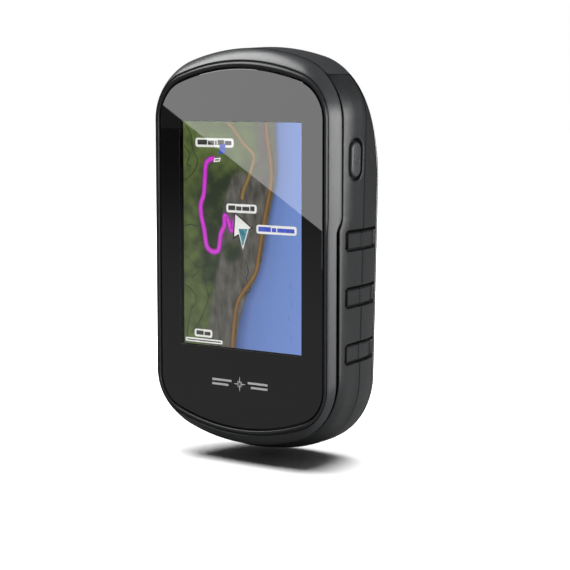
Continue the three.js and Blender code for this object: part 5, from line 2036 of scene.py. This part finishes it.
# ---------------- batteries and inner parts
@dataclass(frozen=True)
class Batteries:
    """The two cells, spun from their profile."""

    def cell(self, name: str) -> Piece:
        """A cell standing upright on the left."""
        radius, length = ROOM.cell_diameter / 2, ROOM.cell_length
        shoulder = length - 1.0
        profile = [
            (0, 0.25), (radius - 2.2, 0.25), (radius - 1.9, 0.0), (radius - 0.9, 0.0), (radius - 0.3, 0.3),
            (radius, 0.9), (radius, shoulder - 0.9), (radius - 0.3, shoulder - 0.3), (radius - 0.9, shoulder),
            (3.2, shoulder), (3.0, shoulder - 0.2), (2.8, shoulder - 0.2), (2.75, length - 0.3),
            (2.45, length), (0, length),
        ]
        columns = 64

        def place(column: int, row: int) -> Vector:
            angle = tau * column / columns
            r, height = profile[row]
            x, depth = r * cos(angle) - ROOM.cell_x, ROOM.cell_depth + r * sin(angle)
            return spot(x, depth, ROOM.cell_bottom + height)

        return soften(close_skin(draw_skin(name, columns + 1, len(profile), place)), 35)

    def make(self) -> None:
        """Builds one cell, copies it the other way up, dresses and mounts both."""
        left = self.cell("cell_left")
        right = copy_of(left, "cell_right")
        middle = Vector((0, FRONT_Y + ROOM.cell_depth * MM, (ROOM.cell_bottom + ROOM.cell_length / 2) * MM))
        turned = Matrix.Rotation(pi, 4, "Y") @ Matrix.Translation(-middle)
        right.data.transform(Matrix.Translation(middle) @ turned)
        split = ROOM.cell_bottom + ROOM.cell_length * 0.78
        other = ROOM.cell_bottom + ROOM.cell_length * 0.22
        green, copper = tone(38, 92, 62), tone(176, 178, 180)
        dress(left, SleeveFinish("sleeve_left", green, copper, split))
        dress(right, SleeveFinish("sleeve_right", copper, green, other))
        mount(left, "case", "cell_sleeve", "battery_left")
        mount(right, "case", "cell_sleeve", "battery_right")


@dataclass(frozen=True)
class InnerParts:
    """Nodes whose shape is right as it stands: they only get a finish."""

    def make(self) -> None:
        """Gives every remaining node its finish."""
        finishes = {
            TAPE: ["lens_tape"],
            GUIDE: ["backlight_unit"],
            TIN: ["display_frame", "rf_shield", "card_socket", "power_switch", "usb_port"],
            RIBBON: ["display_ribbon", "touch_ribbon", "usb_ribbon"],
            CONNECTOR: ["display_connector"],
            BoardFinish(): ["main_board", "usb_board"],
            SCREW: ["key_clip", *(f"board_screw_{i}" for i in range(1, 5)), "case_screw_1", "case_screw_2"],
            CHIP: ["processor_chip", "memory_chip", "compass_chip", "beeper", "switch_plunger"],
            CERAMIC: ["gps_antenna"],
            CARD: ["memory_card"],
            SEAL: ["case_seal", "door_seal"],
            STEEL: ["latch_retainer"],
            NICKEL: [
                "bridge_contact", "bridge_spring", "positive_contact", "negative_contact", "negative_spring",
            ],
        }
        for finish, nodes in finishes.items():
            for name in nodes:
                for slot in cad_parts[name].material_slots:
                    slot.material = finish.material()
                LOG.info("%s: finish %s", name, finish.name)


# ---------------- stage
def hang(name: str, data: bpy.types.ID) -> Piece:
    """A new light or camera, linked to the scene."""
    piece = bpy.data.objects.new(name, data)
    bpy.context.scene.collection.objects.link(piece)
    return piece


def light_only(source: Piece, names: Sequence[str], how: str = "INCLUDE") -> None:
    """Lets a light fall on the named pieces only, or, with EXCLUDE, on all the others."""
    receivers = bpy.data.collections.new(f"{source.name}_receivers")
    for name in names:
        receivers.objects.link(bpy.data.objects[name])
    for entry in receivers.collection_objects:
        entry.light_linking.link_state = how
    source.light_linking.receiver_collection = receivers


BACK_PIECES = ("case_shell", "door_panel", "port_cap", "latch_head", "latch_bow")


@dataclass(frozen=True)
class Softbox:
    """A soft area light aimed at the middle of the unit, placed by direction and distance."""

    name: str
    azimuth: float
    elevation: float
    distance: float
    size: Point
    power: float
    lights: tuple[str, ...] = ()

    def make(self, target: Vector) -> None:
        """Hangs the light.

        Args:
            target: the place it is aimed at.
        """
        data = bpy.data.lights.new(self.name, "AREA")
        data.shape = "RECTANGLE"
        data.size, data.size_y = self.size
        data.energy = self.power
        lamp = hang(self.name, data)
        across, rise = radians(self.azimuth), radians(self.elevation)
        away = Vector((sin(across) * cos(rise), -cos(across) * cos(rise), sin(rise)))
        lamp.location = target + away * self.distance
        lamp.rotation_euler = away.to_track_quat("Z", "Y").to_euler()
        lamp.visible_camera = False
        light_only(lamp, self.lights or ("floor",), "INCLUDE" if self.lights else "EXCLUDE")


@dataclass(frozen=True)
class Stage:
    """Pale floor, white surroundings, soft lights, a reflector card and the camera."""

    camera_place: tuple[float, float, float] = (0.27156, -0.36034, 0.09132)
    view_back: tuple[float, float, float] = (0.5952, -0.7960, 0.1099)
    lens: float = 111.6
    floor_drop: float = 3.0
    gloss_left: Point = (-24.6, 87.4)
    gloss_right: Point = (25.6, 57.4)
    gloss_reach: float = 2.3
    gloss_power: float = 2.6
    lights: tuple[Softbox, ...] = (
        Softbox("side_light", 88, -6, 0.55, (0.78, 0.56), 12.0),
        Softbox("top_light", -66, 52, 0.6, (0.42, 0.42), 5.2),
        Softbox("rear_light", 185, -2, 0.9, (0.9, 0.6), 6.0, BACK_PIECES),
        Softbox("floor_light", 0, 89.9, 0.75, (1.1, 1.1), 24.0, ("floor",)),
    )

    def make_camera(self) -> None:
        """The camera at its place, looking along its axis with no roll."""
        data = bpy.data.cameras.new("view")
        data.lens = self.lens
        data.clip_start = 0.01
        camera = hang("view", data)
        camera.location = self.camera_place
        camera.rotation_euler = Vector(self.view_back).to_track_quat("Z", "Y").to_euler()
        bpy.context.scene.camera = camera

    def make_floor(self) -> None:
        """A wide pale floor, a little below the unit."""
        clear_selection()
        bpy.ops.mesh.primitive_plane_add(size=6, location=(0, 0, -self.floor_drop * MM))
        floor = settle(bpy.context.object, "floor")
        recipe = Recipe("pale_floor", (0.9, 0.9, 0.9), 0.9)
        recipe.set("Specular IOR Level", 0.0)
        seen = recipe.node("ShaderNodeLightPath").outputs["Is Camera Ray"]
        recipe.link(recipe.ramp(seen, [(0.0, (0.12, 0.12, 0.12)), (1.0, (0.9, 0.9, 0.9))]), "Base Color")
        away = recipe.node("ShaderNodeVectorMath", operation="LENGTH")
        recipe.link(recipe.here, away.inputs[0])
        glow = recipe.spread(away.outputs["Value"], (0.07, 0.20), (0.0, 1.0))
        recipe.link(recipe.maths("MULTIPLY", glow, seen), "Emission Strength")
        recipe.set("Emission Color", (1, 1, 1, 1))
        floor.data.materials.append(recipe.material)
        floor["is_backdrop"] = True

    def make_card(self) -> None:
        """A glowing card whose straight lower edge shows as a slanted gloss on the glass."""
        eye = Vector(self.camera_place)
        eye.y = 2 * FRONT_Y - eye.y
        left, right = (
            eye + (spot(x, 0, z) - eye) * self.gloss_reach for x, z in (self.gloss_left, self.gloss_right)
        )
        along = (right - left).normalized()
        facing = (eye - (left + right) / 2).normalized()
        up = along.cross(facing)
        up = up if up.z > 0 else -up
        clear_selection()
        bpy.ops.mesh.primitive_plane_add(size=1)
        card = bpy.context.object
        card.name = card.data.name = "gloss_card"
        low, high = left - along * 0.25, right + along * 0.25
        corners = [low, high, low + up * 0.5, high + up * 0.5]
        for vertex, place in zip(card.data.vertices, corners):
            vertex.co = place
        recipe = Recipe("card_glow", (0, 0, 0), 0.5)
        recipe.set("Emission Color", (1, 1, 1, 1))
        recipe.set("Emission Strength", self.gloss_power)
        card.data.materials.append(recipe.material)
        for rays in ("camera", "diffuse", "shadow", "transmission"):
            setattr(card, f"visible_{rays}", False)
        light_only(card, ["glass_cover"])
        card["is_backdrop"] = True

    def make_world(self) -> None:
        """White surroundings to look at, and dimmer ones to be lit by."""
        world = bpy.data.worlds.new("studio")
        bpy.context.scene.world = world
        world.use_nodes = True
        tree = world.node_tree
        seen = tree.nodes["Background"]
        seen.inputs["Color"].default_value = (1, 1, 1, 1)
        lit = tree.nodes.new("ShaderNodeBackground")
        lit.inputs["Color"].default_value = (1, 1, 1, 1)
        lit.inputs["Strength"].default_value = 0.08
        path = tree.nodes.new("ShaderNodeLightPath")
        mix = tree.nodes.new("ShaderNodeMixShader")
        tree.links.new(path.outputs["Is Camera Ray"], mix.inputs[0])
        tree.links.new(lit.outputs[0], mix.inputs[1])
        tree.links.new(seen.outputs[0], mix.inputs[2])
        tree.links.new(mix.outputs[0], tree.nodes["World Output"].inputs["Surface"])

    def make(self) -> None:
        """Sets the whole stage."""
        low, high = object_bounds()
        self.make_camera()
        self.make_floor()
        self.make_card()
        self.make_world()
        for light in self.lights:
            light.make((low + high) / 2)
        bpy.context.scene.view_settings.view_transform = "Standard"


def main() -> None:
    """Builds the stage and every sub-assembly in order."""
    logging.basicConfig(level=logging.INFO, format="%(name)s: %(message)s")
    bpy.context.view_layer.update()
    screen = ChartScreen()
    grip = SideGrip()
    Bezel().make()
    CoverGlass().make(screen)
    screen.make()
    grip.make()
    KEY_PLACE.make()
    RearShell().make(grip)
    CAP_PLACE.make()
    BatteryDoor().make()
    Latch().make()
    Batteries().make()
    InnerParts().make()
    Stage().make()


if __name__ == "__main__":
    main()
